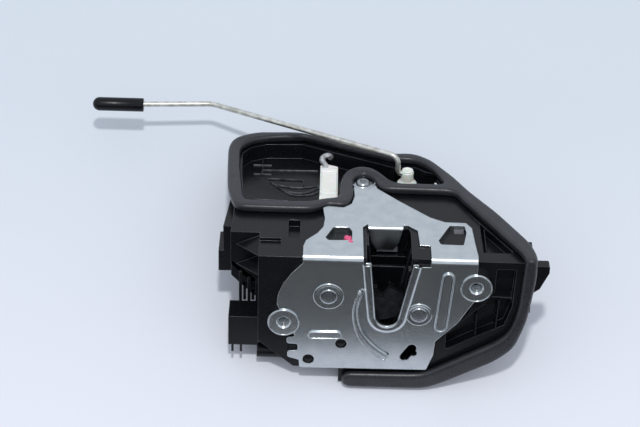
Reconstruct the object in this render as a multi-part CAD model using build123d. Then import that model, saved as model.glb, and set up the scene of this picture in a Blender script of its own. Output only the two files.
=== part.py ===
from build123d import *
import math
import os

# A vehicle door latch with its lock mechanism, in millimetres.
#
# Frame: X runs along the fold of the latch plate, Y runs from the shut face into
# the door, Z stands up from the inner leg of the plate.  The origin lies on the
# fold edge at the middle of the striker mouth.
# The shut leg of the plate faces -Y and the inner leg faces +Z.

# ---------------------------------------------------------------- driving sizes

PLATE_THICKNESS = 2.5            # zinc plated latch plate
FOLD_OUTER_RADIUS = 3.6
BEAD_HEIGHT = 0.7                # height of the pressed beads and rings
BEAD_WIDTH = 2.4

SCREW_HOLE_RADIUS = 2.5          # M6 thread, minor radius
SCREW_COLLAR_RADIUS = 4.9
SCREW_COLLAR_LENGTH = 3.6        # pulled collar behind the plate
SCREW_PAD_RADIUS = 7.1
SCREW_COUNTERSINK = 0.8
LEFT_SCREW = (-48.0, -37.2)      # X, Z of the two door screws
RIGHT_SCREW = (39.6, -15.2)

FORK_PIVOT = (14.2, -31.0)       # X, Z of the two riveted pivots
PAWL_PIVOT = (-27.6, -22.0)
FORK_PIVOT_RADIUS = 4.2
PAWL_PIVOT_RADIUS = 3.8
RIVET_TAIL_RADIUS = 3.0
RIVET_HEAD_RADIUS = 3.8
RIVET_HEAD_HEIGHT = 0.9

FORK_THICKNESS = 5.0
FORK_RADIUS = 22.4
FORK_HUB_RADIUS = 10.2
FORK_COAT = 0.9                  # moulded skin on the working edges
FORK_OPEN_ANGLE = 80.0           # from open to fully latched
PAWL_DEPTH = 2.6                 # how far the pawl drops behind the fork's tooth
PAWL_HUB_RADIUS = 7.0
PAWL_ARM_WIDTH = 6.4

STRIKER_DIAMETER = 10.0
STRIKER_SEAT = (-0.5, -32.4)     # where the latched striker lies
STRIKER_PLAY = 0.6

RUNNING_GAP = 0.06               # radial clearance of a lever on its pin
SIDE_GAP = 0.5                   # beside a lever
MOVING_GAP = 0.35                # between parts that pass each other
SEAT_GAP = 0.3                   # between parts that only sit beside each other

SPRING_WIRE = 1.2
BACKING_THICKNESS = 2.0

HOUSING_WALL = 2.0
HOUSING_TOP = -PLATE_THICKNESS   # face under the inner leg
HOUSING_FRONT = PLATE_THICKNESS  # face behind the shut leg
SHUT_DEPTH = 20.0                # back of the shut leg's moulding
INNER_ROOT_DEPTH = 30.0          # moulding below the inner leg, near the fold
INNER_TIP_DEPTH = 18.0           # the same at the far end
COVER_THICKNESS = 2.0
COVER_DROP = 1.0                 # rear cover below the inner moulding

SEAL_HEIGHT = 4.0

ROD_DIAMETER = 2.6
ROD_BEND_RADII = (9.0, 4.0, 2.0)  # far bend, drop, and turn into the clip
CAP_DIAMETER = 6.8
CAP_LENGTH = 25.0
ROD_HEIGHT = 9.2                 # of the long straight run above the inner leg
CLIP_DIAMETER = 6.0
CLIP_FLANGE_DIAMETER = 9.6
CLIP_CENTRE = (9.0, 73.0)        # X, Y of the rod clip on the lock lever

LOCK_PIVOT = (14.0, 50.5)        # X, Y of the lock lever's pin
LOCK_SWING = 24.0
RELEASE_PIVOT = (-28.6, 50.5)    # X, Y of the inside release lever's pin
RELEASE_SWING = 24.0
LEVER_PIN_RADIUS = 2.5
LEVER_THICKNESS = 2.5
OUTER_PIVOT = (-30.0, -48.0)     # X, Z of the outside release lever's pin
OUTER_SWING = 12.0
OUTER_HANDLE_ARM = (-20.0, 6.0)  # from the pin, X, Z
OUTER_PAWL_ARM = (18.0, 2.0)

MOTOR_SIZE = (27.0, 18.0, 11.0)
MOTOR_CENTRE = (-26.5, 57.0)     # X, Y
WORM_RADIUS = 3.2
WORM_LENGTH = 14.0
GEAR_RADIUS = 10.0
GEAR_TEETH = 26
GEAR_THICKNESS = 5.0
GEAR_SWING = 100.0
PINION_TEETH = 10                # on the gear, driving the lock lever's sector
BACKLASH = 0.45                  # between meshing teeth, each side
SECTOR_END_ROOM = 13.0           # degrees past the swing for the sector's last tooth

# ---------------------------------------------------------------- heights worked out

fork_front = PLATE_THICKNESS + SIDE_GAP
fork_back = fork_front + FORK_THICKNESS
backing_front = fork_back + SIDE_GAP + 2 * SPRING_WIRE + 2 * SEAT_GAP + SIDE_GAP
backing_back = backing_front + BACKING_THICKNESS
pocket_back = backing_back + RIVET_HEAD_HEIGHT + SEAT_GAP
web_back = pocket_back + HOUSING_WALL
recess_floor = HOUSING_TOP - 8.0
clip_floor = recess_floor - 2.0
rim_under = HOUSING_TOP - 1.7
lock_lever_low = clip_floor + SEAT_GAP
lock_lever_high = lock_lever_low + LEVER_THICKNESS
release_high = rim_under - 1.4
release_low = release_high - LEVER_THICKNESS
motor_roof = recess_floor - 1.5
motor_middle = motor_roof - SEAT_GAP - MOTOR_SIZE[2] / 2
worm_start = MOTOR_CENTRE[0] + MOTOR_SIZE[0] / 2
gear_centre = (worm_start + 3.5 + WORM_LENGTH / 2, MOTOR_CENTRE[1] + WORM_RADIUS + MOVING_GAP + GEAR_RADIUS)
mesh_run = (LOCK_PIVOT[0] - gear_centre[0], LOCK_PIVOT[1] - gear_centre[1])
mesh_distance = math.hypot(*mesh_run)
mesh_angle = math.degrees(math.atan2(mesh_run[1], mesh_run[0]))
pinion_radius = mesh_distance * LOCK_SWING / (LOCK_SWING + GEAR_SWING)
sector_radius = mesh_distance - pinion_radius
tooth_module = 2 * pinion_radius / PINION_TEETH
tooth_tip = 0.7 * tooth_module
tooth_root = 1.1 * tooth_module
outer_lever_front = web_back + SIDE_GAP
outer_lever_back = SHUT_DEPTH - SIDE_GAP


# ---------------------------------------------------------------- small helpers

def outline(points, radius=None):
    """A flat face from corner points, with its corners rounded if asked."""
    corners = [Vector(*point) for point in points]
    if radius is None:
        return make_face(Polyline(*corners, close=True))
    edges = []
    bends = [round_corner(corners[i - 1], corners[i], corners[(i + 1) % len(corners)], radius)
             for i in range(len(corners))]
    for here, following in zip(bends, bends[1:] + bends[:1]):
        edges += [ThreePointArc(*here), Line(here[-1], following[0])]
    return make_face(edges)


def round_corner(before, corner, after, radius):
    """Start, middle and end of the arc that rounds one corner."""
    back, ahead = before - corner, after - corner
    half = math.radians(back.get_angle(ahead)) / 2
    reach = min(radius / math.tan(half), 0.45 * back.length, 0.45 * ahead.length)
    inward = (back.normalized() + ahead.normalized()).normalized()
    middle = corner + inward * (reach / math.cos(half) - reach * math.tan(half))
    return corner + back.normalized() * reach, middle, corner + ahead.normalized() * reach


def along_y(face, y_from, y_to):
    """Extrude a face drawn in X, Z between two depths."""
    return extrude(Plane.XZ.offset(-y_to) * face, amount=y_to - y_from)


def along_z(face, z_from, z_to):
    """Extrude a face drawn in X, Y between two heights."""
    return extrude(Plane.XY.offset(z_from) * face, amount=z_to - z_from)


def along_x(face, x_from, x_to):
    """Extrude a face drawn in Y, Z between two stations."""
    return extrude(Plane.YZ.offset(x_from) * face, amount=x_to - x_from)


def disc_y(centre, radius, y_from, y_to):
    return along_y(Pos(*centre) * Circle(radius), y_from, y_to)


def disc_z(centre, radius, z_from, z_to):
    return along_z(Pos(*centre) * Circle(radius), z_from, z_to)


def block(x_range, y_range, z_range):
    spans = [high - low for low, high in (x_range, y_range, z_range)]
    middle = [(high + low) / 2 for low, high in (x_range, y_range, z_range)]
    return Pos(*middle) * Box(*spans)


def polar(centre, radius, degrees):
    angle = math.radians(degrees)
    return (centre[0] + radius * math.cos(angle), centre[1] + radius * math.sin(angle))


def sector(centre, radius, start, end):
    """A pie slice between two angles, drawn in a plane's own X, Y."""
    arc = CenterArc(centre, radius, start, end - start)
    return make_face([Line(centre, arc @ 0), arc, Line(arc @ 1, centre)])


def slot_between(start, end, width):
    """A slot with round ends between two points."""
    run = (end[0] - start[0], end[1] - start[1])
    length = math.hypot(*run)
    middle = ((start[0] + end[0]) / 2, (start[1] + end[1]) / 2)
    turn = math.degrees(math.atan2(run[1], run[0]))
    return Pos(*middle) * Rot(0, 0, turn) * SlotCenterToCenter(length, width)


def arc_band(centre, radius, start, end, width):
    """A curved bead with square ends."""
    return sector(centre, radius + width / 2, start, end) - Pos(*centre) * Circle(radius - width / 2)


def solid_of(points_by_face):
    """A closed solid from flat faces, each given by its corners."""
    faces = [Face(Wire.make_polygon([Vector(*p) for p in corners])) for corners in points_by_face]
    return Solid(Shell(faces))


# ---------------------------------------------------------------- shared outlines

MOUTH_TOP_LEFT, MOUTH_TOP_RIGHT = -9.4, 11.4     # leg A mouth at the fold
MOUTH_ROOT_RADIUS = 5.4                          # round bottom of the mouth
MOUTH_CORNER_DEPTH = -4.6                        # how far the inner leg's mouth cuts past the fold


def mouth_outline(grow=0.0, top=2.0):
    """The tapered striker mouth in the shut leg, widened by grow."""
    seat_x, seat_z = STRIKER_SEAT
    root = MOUTH_ROOT_RADIUS + grow
    taper = outline([
        (MOUTH_TOP_LEFT - grow, top),
        (MOUTH_TOP_RIGHT + grow, top),
        (seat_x + root, seat_z),
        (seat_x - root, seat_z),
    ])
    return taper + Pos(seat_x, seat_z) * Circle(root)


INNER_MOUTH = [
    (-12.2, -8.0), (-12.6, 24.8), (-10.4, 27.4), (8.2, 27.2), (12.7, 23.2),
    (13.4, 11.2), (18.3, 10.8), (18.6, -8.0),
]

SHUT_LEG = [
    (-39.7, 2.0), (-39.5, -4.0), (-44.6, -9.8), (-48.6, -16.0), (-50.6, -21.6), (-51.2, -27.0),
    (-47.5, -37.0), (-42.0, -45.6), (-46.4, -45.9), (-46.4, -49.4), (-41.2, -49.6),
    (-41.2, -53.4), (-46.0, -53.6), (-46.0, -57.2), (-40.6, -58.8), (-40.3, -63.2),
    (19.0, -62.8), (21.9, -54.0), (22.4, -46.2), (32.4, -35.0), (39.6, -22.0),
    (39.6, 2.0),
]

INNER_LEG = [
    (-39.7, -1.0), (-39.7, 8.0), (-38.6, 12.8), (-33.4, 19.0), (-30.8, 24.4), (-30.2, 31.4),
    (-31.2, 40.4), (-29.0, 42.4), (-21.5, 41.2), (-17.8, 44.6), (-16.4, 51.0), (-17.0, 64.8),
    (-12.6, 70.6), (-7.6, 66.0), (-5.6, 58.6), (4.9, 47.6), (18.9, 34.4), (25.6, 30.8),
    (35.2, 30.6), (37.8, 26.4), (38.8, 12.2), (39.6, 4.0), (39.6, -1.0),
]
TAB_SCREW = (-12.4, 64.8)
TAB_DISH_RADIUS = 6.6            # the tab's end is pressed down round its screw
TAB_DROP = 1.2
TAB_HEAD_HEIGHT = 1.1


def tab_dish(grow=0.0):
    """Outline of the lowered end of the tab."""
    leg = outline(INNER_LEG, 0.9)
    return (offset(leg, grow) if grow else leg) & Pos(*TAB_SCREW) * Circle(TAB_DISH_RADIUS + grow)


LEFT_WINDOW = [(-26.2, 24.3), (-18.8, 24.3), (-17.5, 21.2), (-17.6, 13.8), (-28.4, 13.3), (-29.8, 15.6)]
RIGHT_WINDOW = [(27.7, 28.1), (34.6, 28.1), (35.1, 22.2), (33.4, 12.0), (22.9, 12.2), (22.0, 15.4)]


# ---------------------------------------------------------------- latch plate

def make_latch_plate():
    """The folded steel plate with its mouth, beads, rings and screw pads."""
    t = PLATE_THICKNESS
    bend = outline([(0, -70), (t, -70), (t, -t), (80, -t), (80, 0), (0, 0)])
    blank = along_x(bend, -60, 60)
    fold = blank.edges().filter_by(Axis.X).sort_by_distance((0, 0, 0))[0]
    blank = fillet(fold, FOLD_OUTER_RADIUS)
    shut = along_y(outline(SHUT_LEG, 1.2), -1, t + 1.5)
    inner = along_z(outline(INNER_LEG, 0.9), -t - 1.5, 1)
    pads = [disc_y(at, SCREW_PAD_RADIUS, -BEAD_HEIGHT, t) for at in (LEFT_SCREW, RIGHT_SCREW)]
    plate = blank & (shut + inner)
    plate -= along_y(mouth_outline(), -5, t + 5)
    plate -= along_z(outline(INNER_MOUTH), MOUTH_CORNER_DEPTH, 5)
    for window in (LEFT_WINDOW, RIGHT_WINDOW):
        plate -= along_z(outline(window, 1.0), -t - 1, 1)
    for pad in pads:
        plate += pad
    plate += make_beads()
    for at in (LEFT_SCREW, RIGHT_SCREW):
        plate += disc_y(at, SCREW_COLLAR_RADIUS, t, t + SCREW_COLLAR_LENGTH)
        plate -= disc_y(at, SCREW_HOLE_RADIUS, -5, t + SCREW_COLLAR_LENGTH + 1)
        sink = Cone(SCREW_HOLE_RADIUS, SCREW_HOLE_RADIUS + SCREW_COUNTERSINK, SCREW_COUNTERSINK)
        plate -= Pos(at[0], -BEAD_HEIGHT + SCREW_COUNTERSINK / 2, at[1]) * Rot(90, 0, 0) * sink
    for at in (FORK_PIVOT, PAWL_PIVOT):
        plate -= disc_y(at, RIVET_TAIL_RADIUS, -5, t + 1)
    plate -= disc_y(LOWER_PEG, PEG_RADIUS, -5, t + 1)
    plate -= disc_y(MIDDLE_PEG, PEG_RADIUS, -5, t + 1)
    plate -= along_y(slot_between((8.6, -55.4), (11.8, -50.4), 4.4), -5, t + 1)
    plate -= disc_y((12.6, -53.2), 1.7, -5, t + 1)
    plate -= along_z(tab_dish(), -TAB_DROP, 1)
    plate += along_z(tab_dish(), -t - TAB_DROP, -t)
    plate -= disc_z(TAB_SCREW, TAB_SCREW_RADIUS, -t - TAB_DROP - 1, 1)
    return plate + make_tongue()


LOWER_PEG = (-36.2, -58.2)
MIDDLE_PEG = (-21.2, -48.8)
PEG_RADIUS = 2.7
TAB_SCREW_RADIUS = 2.1
TAB_SCREW_TIP = -11.0


def make_beads():
    """Pressed beads on the shut leg: mouth lip, pivot rings, ribs."""
    lip = mouth_outline(BEAD_WIDTH) - mouth_outline() - Pos(0, 12) * Rectangle(60, 30)
    beads = along_y(lip, -BEAD_HEIGHT, 0.2)
    for at, radius in ((FORK_PIVOT, 5.4), (PAWL_PIVOT, 6.9)):
        ring = Pos(*at) * Circle(radius) - Pos(*at) * Circle(RIVET_HEAD_RADIUS + 0.5)
        beads += along_y(ring - mouth_outline(BEAD_WIDTH), -BEAD_HEIGHT / 2, 0.2)
    beads += along_y(arc_band(FORK_PIVOT, 29.2, 153, 242, 1.8), -BEAD_HEIGHT, 0.2)
    beads += along_y(slot_between((26.6, -9.4), (24.3, -38.0), 3.6), -BEAD_HEIGHT, 0.2)
    beads += along_y(slot_between((-35.0, -43.8), (-22.6, -43.4), 3.6), -BEAD_HEIGHT, 0.2)
    return beads


TONGUE_DEPTH = 12.4
TONGUE_HALF_WIDTH = 8.2
TONGUE_MIDDLE = -2.0
TONGUE_FRONT = 24.8
TONGUE_LAP = 1.2                 # how far its root runs into the inner leg


def make_tongue():
    """The stop tongue folded down from the inner leg behind the mouth."""
    t = PLATE_THICKNESS
    left = TONGUE_MIDDLE - TONGUE_HALF_WIDTH
    right = TONGUE_MIDDLE + TONGUE_HALF_WIDTH
    face = outline([
        (left, 0), (left + 1.6, 1 - TONGUE_DEPTH + 3), (left + 4.4, -TONGUE_DEPTH),
        (right - 4.4, -TONGUE_DEPTH), (right - 1.6, 1 - TONGUE_DEPTH + 3), (right, 0),
    ])
    fold = along_y(face, TONGUE_FRONT, TONGUE_FRONT + t)
    edge = fold.edges().filter_by(Axis.X).sort_by_distance((TONGUE_MIDDLE, TONGUE_FRONT, 0))[0]
    back = TONGUE_FRONT + t
    return fillet(edge, 1.6) + block((left, right), (back - 0.01, back + TONGUE_LAP), (-t, 0))


# ---------------------------------------------------------------- mechanism

def rivet(at, body_radius):
    """A stepped pivot: shoulder between the plates, formed heads outside."""
    pin = disc_y(at, body_radius, PLATE_THICKNESS, backing_front)
    pin += disc_y(at, RIVET_TAIL_RADIUS, 0, backing_back)
    for y_from, y_to in ((-RIVET_HEAD_HEIGHT, 0), (backing_back, backing_back + RIVET_HEAD_HEIGHT)):
        pin += disc_y(at, RIVET_HEAD_RADIUS, y_from, y_to)
    return pin


def make_backing_plate():
    """The inner steel plate that carries the far ends of both pivots."""
    face = outline([
        (-35.5, -12.0), (-12.5, -12.0), (-8.4, -40.2), (7.4, -40.2), (9.4, -22.0),
        (14.0, -20.4), (24.6, -24.0), (24.6, -40.0), (14.0, -52.0), (-10.0, -54.0), (-25.0, -40.0),
        (-36.0, -33.0),
    ], 2.0)
    plate = along_y(face, backing_front, backing_back)
    for at in (FORK_PIVOT, PAWL_PIVOT):
        plate -= disc_y(at, RIVET_TAIL_RADIUS, backing_front - 1, backing_back + 1)
    return plate


SLOT_DIRECTION = 232.0           # way the jaw opens when latched
TOOTH_ANGLE = 237.0              # latched edge that the pawl holds
TAIL_END_ANGLE = 278.0


def fork_face(shrink=0.0):
    """The fork in its latched place: two jaws, a tooth and a hub."""
    radius = FORK_RADIUS - shrink
    notch_radius = FORK_RADIUS - PAWL_DEPTH - MOVING_GAP - shrink
    disc = sector(FORK_PIVOT, radius, 140, 200) + sector(FORK_PIVOT, notch_radius, 198, TOOTH_ANGLE)
    disc += sector(FORK_PIVOT, radius, TOOTH_ANGLE + math.degrees(shrink / radius), TAIL_END_ANGLE)
    disc += Pos(*FORK_PIVOT) * Circle(FORK_HUB_RADIUS)
    far_end = polar(STRIKER_SEAT, 30, SLOT_DIRECTION)
    return disc - slot_between(STRIKER_SEAT, far_end, STRIKER_DIAMETER + 2 * STRIKER_PLAY + 2 * shrink)


def opened(solid):
    """Turn a piece of the fork from its latched place to the open one."""
    pivot = Axis((FORK_PIVOT[0], 0, FORK_PIVOT[1]), (0, 1, 0))
    return solid.rotate(pivot, FORK_OPEN_ANGLE)


def make_fork():
    """Steel core of the fork bolt."""
    core = along_y(fork_face(FORK_COAT), fork_front, fork_back)
    core -= disc_y(FORK_PIVOT, FORK_PIVOT_RADIUS + RUNNING_GAP, 0, 20)
    return opened(core)


def make_fork_coating():
    """Moulded skin round the fork's edges."""
    jacket = along_y(fork_face(), fork_front + 0.4, fork_back - 0.4)
    jacket -= along_y(fork_face(FORK_COAT), fork_front, fork_back)
    return opened(jacket)


PAWL_ANGLE = 228.0               # seen from the fork's pivot


def make_pawl():
    """Pawl whose square nose holds the fork's tooth."""
    nose = polar(FORK_PIVOT, FORK_RADIUS + MOVING_GAP, PAWL_ANGLE)
    along = math.degrees(math.atan2(nose[1] - PAWL_PIVOT[1], nose[0] - PAWL_PIVOT[0]))
    reach = math.hypot(nose[0] - PAWL_PIVOT[0], nose[1] - PAWL_PIVOT[1]) + 2.6
    hub = PAWL_HUB_RADIUS
    arm = outline([(0, -hub), (reach, -PAWL_ARM_WIDTH), (reach, 0), (18, 0), (6.5, 2.6), (0, hub)])
    face = Pos(*PAWL_PIVOT) * Rot(0, 0, along) * arm + Pos(*PAWL_PIVOT) * Circle(hub)
    face += Pos(*PAWL_PIVOT) * Rot(0, 0, along + 128) * SlotCenterPoint((5, 0), (9.5, 0), 5)
    pawl = along_y(face, fork_front, fork_back)
    return pawl - disc_y(PAWL_PIVOT, PAWL_PIVOT_RADIUS + RUNNING_GAP, 0, 20)


def torsion_spring(at, inner_radius, leg_angle):
    """A flat coil behind a lever with two straight legs."""
    coil_radius = inner_radius + SEAT_GAP + SPRING_WIRE / 2
    front = fork_back + SIDE_GAP
    coil = disc_y(at, coil_radius + SPRING_WIRE / 2, front, front + 2 * SPRING_WIRE)
    coil -= disc_y(at, coil_radius - SPRING_WIRE / 2, front - 1, front + 2 * SPRING_WIRE + 1)
    for turn, layer in ((leg_angle, 0), (leg_angle + 100, 1)):
        leg = Pos(*at) * Rot(0, 0, turn) * Pos(5, coil_radius) * Rectangle(10, SPRING_WIRE)
        y_from = front + layer * SPRING_WIRE
        coil += along_y(leg, y_from, y_from + SPRING_WIRE)
    return coil


# ---------------------------------------------------------------- mouth liner

TROUGH_FRONT = backing_back + SEAT_GAP


def trough_outline(grow):
    """Inside of the plastic trough behind the mouth, widened by grow."""
    seat_x, seat_z = STRIKER_SEAT
    root = MOUTH_ROOT_RADIUS + grow
    taper = outline([
        (-11.0 - grow, 6), (11.2 + grow, 6), (seat_x + root, seat_z), (seat_x - root, seat_z),
    ])
    return taper + Pos(seat_x, seat_z) * Circle(root)


def make_mouth_liner():
    """Black moulding round the mouth: collar at the inner leg, trough behind."""
    t = PLATE_THICKNESS
    trough = along_y(trough_outline(1.6), TROUGH_FRONT, SHUT_DEPTH - 0.5)
    trough -= along_y(trough_outline(0), TROUGH_FRONT - 1, SHUT_DEPTH - 2)
    trough -= block((-40, 40), (0, 40), (HOUSING_TOP - SEAT_GAP, 20))
    trough -= along_y(trough_outline(0) & Pos(0, -3) * Rectangle(40, 28), 0, 40)
    collar = along_z(offset(outline(INNER_MOUTH), -0.25), -7.4, -0.9)
    collar -= block((-40, 40), (-10, 1.2), (-20, 20))
    collar -= block((-40, 40), (-10, t + SEAT_GAP), (-20, MOUTH_CORNER_DEPTH + SEAT_GAP))
    collar -= along_z(outline([(-10.9, -9), (-10.9, 30), (7.4, 30), (9.6, 22), (9.6, -9)]), -20, 5)
    collar -= disc_y(FORK_PIVOT, FORK_RADIUS + MOVING_GAP, fork_front - SIDE_GAP, fork_back + SIDE_GAP)
    upper = trough_outline(1.6) & Pos(0, -9) * Rectangle(60, 13)
    hood = along_y(upper, SHUT_DEPTH - 0.5, 30.5)
    hood -= along_y(trough_outline(0.0), SHUT_DEPTH - 3, 29.0)
    return collar + trough + hood


def make_striker_bumper():
    """Rubber stop in the bottom of the trough."""
    pad = trough_outline(-0.1) - trough_outline(-1.6) - Pos(0, 0) * Rectangle(80, 54)
    return along_y(pad, TROUGH_FRONT + 0.6, SHUT_DEPTH - 2.2)


def make_keeper_strip():
    """Steel strip on the back wall of the trough, below the tongue."""
    return block((-5.6, 4.0), (27.6, 29.0), (-15.2, -12.9))


# ---------------------------------------------------------------- carrier housing

SHUT_MOULDING = [
    (-60.0, HOUSING_TOP), (-60.0, -50.0), (-47.0, -61.2), (-43.4, -64.4), (-22.0, -64.4),
    (-22.0, -72.6), (24.6, -70.0), (50.0, -55.8), (58.0, -48.2), (62.6, -33.8),
    (65.4, -10.4), (65.2, HOUSING_TOP),
]
INNER_MOULDING = [
    (-73.6, 21.8), (-60.0, 21.8), (-60.0, 11.4), (-41.6, 11.4), (-41.6, HOUSING_FRONT),
    (65.2, HOUSING_FRONT), (65.4, 5.2), (62.6, 14.6), (49.2, 38.2), (36.9, 56.6), (30.6, 68.0),
    (19.8, 83.8), (11.4, 89.4), (1.8, 87.4), (-43.4, 106.4), (-65.0, 105.4), (-75.0, 99.8),
    (-77.2, 92.0), (-76.4, 73.5), (-75.4, 55.5), (-72.8, 44.0),
]
MECHANISM_POCKET = [
    (-37.4, -9.0), (-37.4, -38.0), (-18.0, -59.0), (15.0, -59.0), (26.4, -42.0), (37.4, -31.0),
    (38.0, -7.0), (12.0, -2.4), (12.0, 5.0), (-12.0, 5.0), (-12.0, -2.4),
]
CABLE_SLOT = [(-47.0, 18.0), (-47.0, 33.0), (-41.5, 33.0), (-41.5, 18.0)]
RIGHT_RECESS = [(48.4, -6.4), (57.4, -6.4), (56.8, -27.0), (53.8, -37.4), (37.0, -46.6), (27.4, -52.6),
                (27.4, -43.6), (36.6, -33.6), (43.6, -26.0), (48.4, -19.0)]
RIGHT_RECESS_DEPTH = 8.0
SIDE_RECESS_START = RIGHT_RECESS_DEPTH + HOUSING_WALL
SIDE_RECESS = [(31.6, 51.4), (42.0, 33.4), (42.0, SIDE_RECESS_START), (56.6, SIDE_RECESS_START)]
ROOF_WINDOW = [
    (-68.6, 47.0), (-52.0, 45.0), (-24.2, 48.8), (-23.6, 66.0), (-20.8, 73.6), (-14.4, 77.6),
    (-8.0, 76.6), (-3.4, 71.6), (2.4, 63.2), (27.0, 63.2), (21.2, 75.4), (13.4, 82.4),
    (2.8, 81.6), (-42.0, 101.2), (-60.0, 100.4), (-67.4, 97.0), (-71.2, 91.6), (-70.8, 73.8),
]
CLIP_WELL = [(-20.0, 79.2), (-14.0, 79.8), (-6.0, 77.6), (0.0, 71.0), (3.4, 64.6), (23.4, 64.6),
             (16.6, 75.6), (11.6, 80.4), (2.4, 80.0), (-14.0, 85.6)]


CLIP_ROOM = [(2.6, 66.0), (0.6, 76.0), (6.0, 80.2), (13.4, 80.2), (24.4, 78.0), (25.6, 66.0)]
LOCK_ROOM = [(4.0, 57.0), (1.0, 66.0), (0.0, 79.5), (24.0, 79.5), (25.6, 64.0), (20.6, 44.0), (4.0, 44.0)]


def make_gusset(top):
    """Pyramid shaped guide fin in the corner of the left pocket."""
    wall, side = 21.8, -60.0
    apex = (-71.0, wall, top - 5.0)
    low = (side, wall, top - 11.0)
    high = (side, wall, top)
    nose = (side, 10.0, top - 3.6)
    return solid_of([[apex, high, nose], [apex, nose, low], [apex, low, high], [high, low, nose]])


def make_inner_moulding():
    """The part of the housing below the inner leg, thinner at the far end."""
    body = along_z(outline(INNER_MOULDING), -INNER_ROOT_DEPTH, HOUSING_TOP)
    side = outline([
        (0, HOUSING_TOP), (0, -INNER_ROOT_DEPTH), (48, -INNER_ROOT_DEPTH),
        (110, -INNER_TIP_DEPTH), (110, HOUSING_TOP),
    ])
    body &= along_x(side, -90, 90)
    slant = outline([(-73.6, 0), (-60, 0), (-60, -40), (-60.2, -33.2), (-68.7, -25.6), (-73.6, -20.0)])
    cheek = block((-90, -60), (0, 60), (-60, 0)) - along_y(slant, 0, 60)
    return body - (cheek & block((-90, -60), (0, 44), (-60, -19)))


PILLARS = ((-69.6, -68.2), (-65.6, -64.2), (-61.8, -60.0))
PILLAR_TOPS = (-24.0, -27.0, -28.0)
BARREL = (11.0, -61.6, 3.6)      # Y, Z and radius of the cable guide at the lower corner


def make_left_forms():
    """Wall block, flank, pillars and cable guide at the housing's left side."""
    forms = block((-79.7, -70.0), (30.0, 46.0), (-INNER_ROOT_DEPTH, -18.7))
    flank = outline([(-75.2, 54.0), (-77.4, 30.0), (-72.8, 30.0), (-72.8, 54.0)])
    forms += along_z(flank, -18.8, -5.0)
    for span, top in zip(PILLARS, PILLAR_TOPS):
        forms += block(span, (CONNECTOR_Y[1] - 1.0, CONNECTOR_Y[1] + 2.8), (CONNECTOR_Z[1], top))
    guide = Pos(BARREL[0], BARREL[1]) * Circle(BARREL[2])
    return forms + along_x(guide, CONNECTOR_X[1] - 0.6, -46.0)


def make_right_ear():
    """Snap ear on the housing's right side, tapered downwards."""
    ear = outline([(64.0, -9.0), (73.4, -9.0), (73.4, -12.6), (69.6, -21.6), (64.0, -26.0)], 0.8)
    return along_y(ear, 9.6, 14.6)


def make_carrier_housing():
    """The black moulding behind both legs of the plate."""
    body = along_y(outline(SHUT_MOULDING), HOUSING_FRONT, SHUT_DEPTH)
    body += make_inner_moulding()
    body += make_gusset(-4.2) + make_gusset(-15.2) + make_left_forms() + make_right_ear()
    body -= along_z(outline(CABLE_SLOT, 0.8), HOUSING_TOP - 3.6, 5)
    body -= block((-60.5, -50.0), (11.0, 17.5), (HOUSING_TOP - 1.6, 0))
    body -= along_z(tab_dish(SEAT_GAP), HOUSING_TOP - TAB_DROP, HOUSING_TOP + 1)
    body -= along_y(outline(MECHANISM_POCKET), -5, pocket_back)
    body -= along_y(outline(RIGHT_RECESS, 1.0), -5, RIGHT_RECESS_DEPTH)
    body -= along_y(trough_outline(1.6 + SEAT_GAP), 0, SHUT_DEPTH + 5)
    body -= along_y(trough_outline(1.6 + SEAT_GAP) & Pos(0, -8) * Rectangle(60, 16), 0, 31)
    body -= along_z(outline(ROOF_WINDOW, 1.2), recess_floor, 5)
    body -= along_z(outline(CLIP_WELL, 1.2), clip_floor, 5)
    body -= along_z(outline(SIDE_RECESS, 1.2), -6.4, 5)
    for at in (LEFT_SCREW, RIGHT_SCREW):
        body -= disc_y(at, SCREW_COLLAR_RADIUS + SEAT_GAP, 0, web_back)
    body += disc_y(LOWER_PEG, PEG_RADIUS - 0.3, 0.9, HOUSING_FRONT + 0.1)
    body += disc_y(MIDDLE_PEG, PEG_RADIUS - 0.3, 0.9, pocket_back + 0.1)
    body -= along_y(outline(OUTER_POCKET, 2.0), web_back, SHUT_DEPTH + 1)
    for turn in (0, OUTER_SWING):
        body -= along_y(outer_lever_face(turn, SEAT_GAP), web_back, SHUT_DEPTH + 1)
    body -= disc_y(OUTER_PIVOT, LEVER_PIN_RADIUS, web_back - 2, SHUT_DEPTH)
    for at in COVER_SCREWS:
        body -= disc_y(at, COVER_SCREW_RADIUS, SHUT_DEPTH - 6, SHUT_DEPTH + 1)
    body -= along_z(outline(INNER_MOUTH), -7.4 - SEAT_GAP, 5)
    return body - make_lever_rooms() - make_actuator_room()


def clip_travel(radius):
    """Where a disc on the rod clip's centre goes as the lock lever swings."""
    arm = (CLIP_CENTRE[0] - LOCK_PIVOT[0], CLIP_CENTRE[1] - LOCK_PIVOT[1])
    rest = math.degrees(math.atan2(arm[1], arm[0]))
    swept = arc_band(LOCK_PIVOT, math.hypot(*arm), rest - LOCK_SWING, rest, 2 * radius)
    for angle in (rest - LOCK_SWING, rest):
        swept += Pos(*polar(LOCK_PIVOT, math.hypot(*arm), angle)) * Circle(radius)
    return swept


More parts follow.
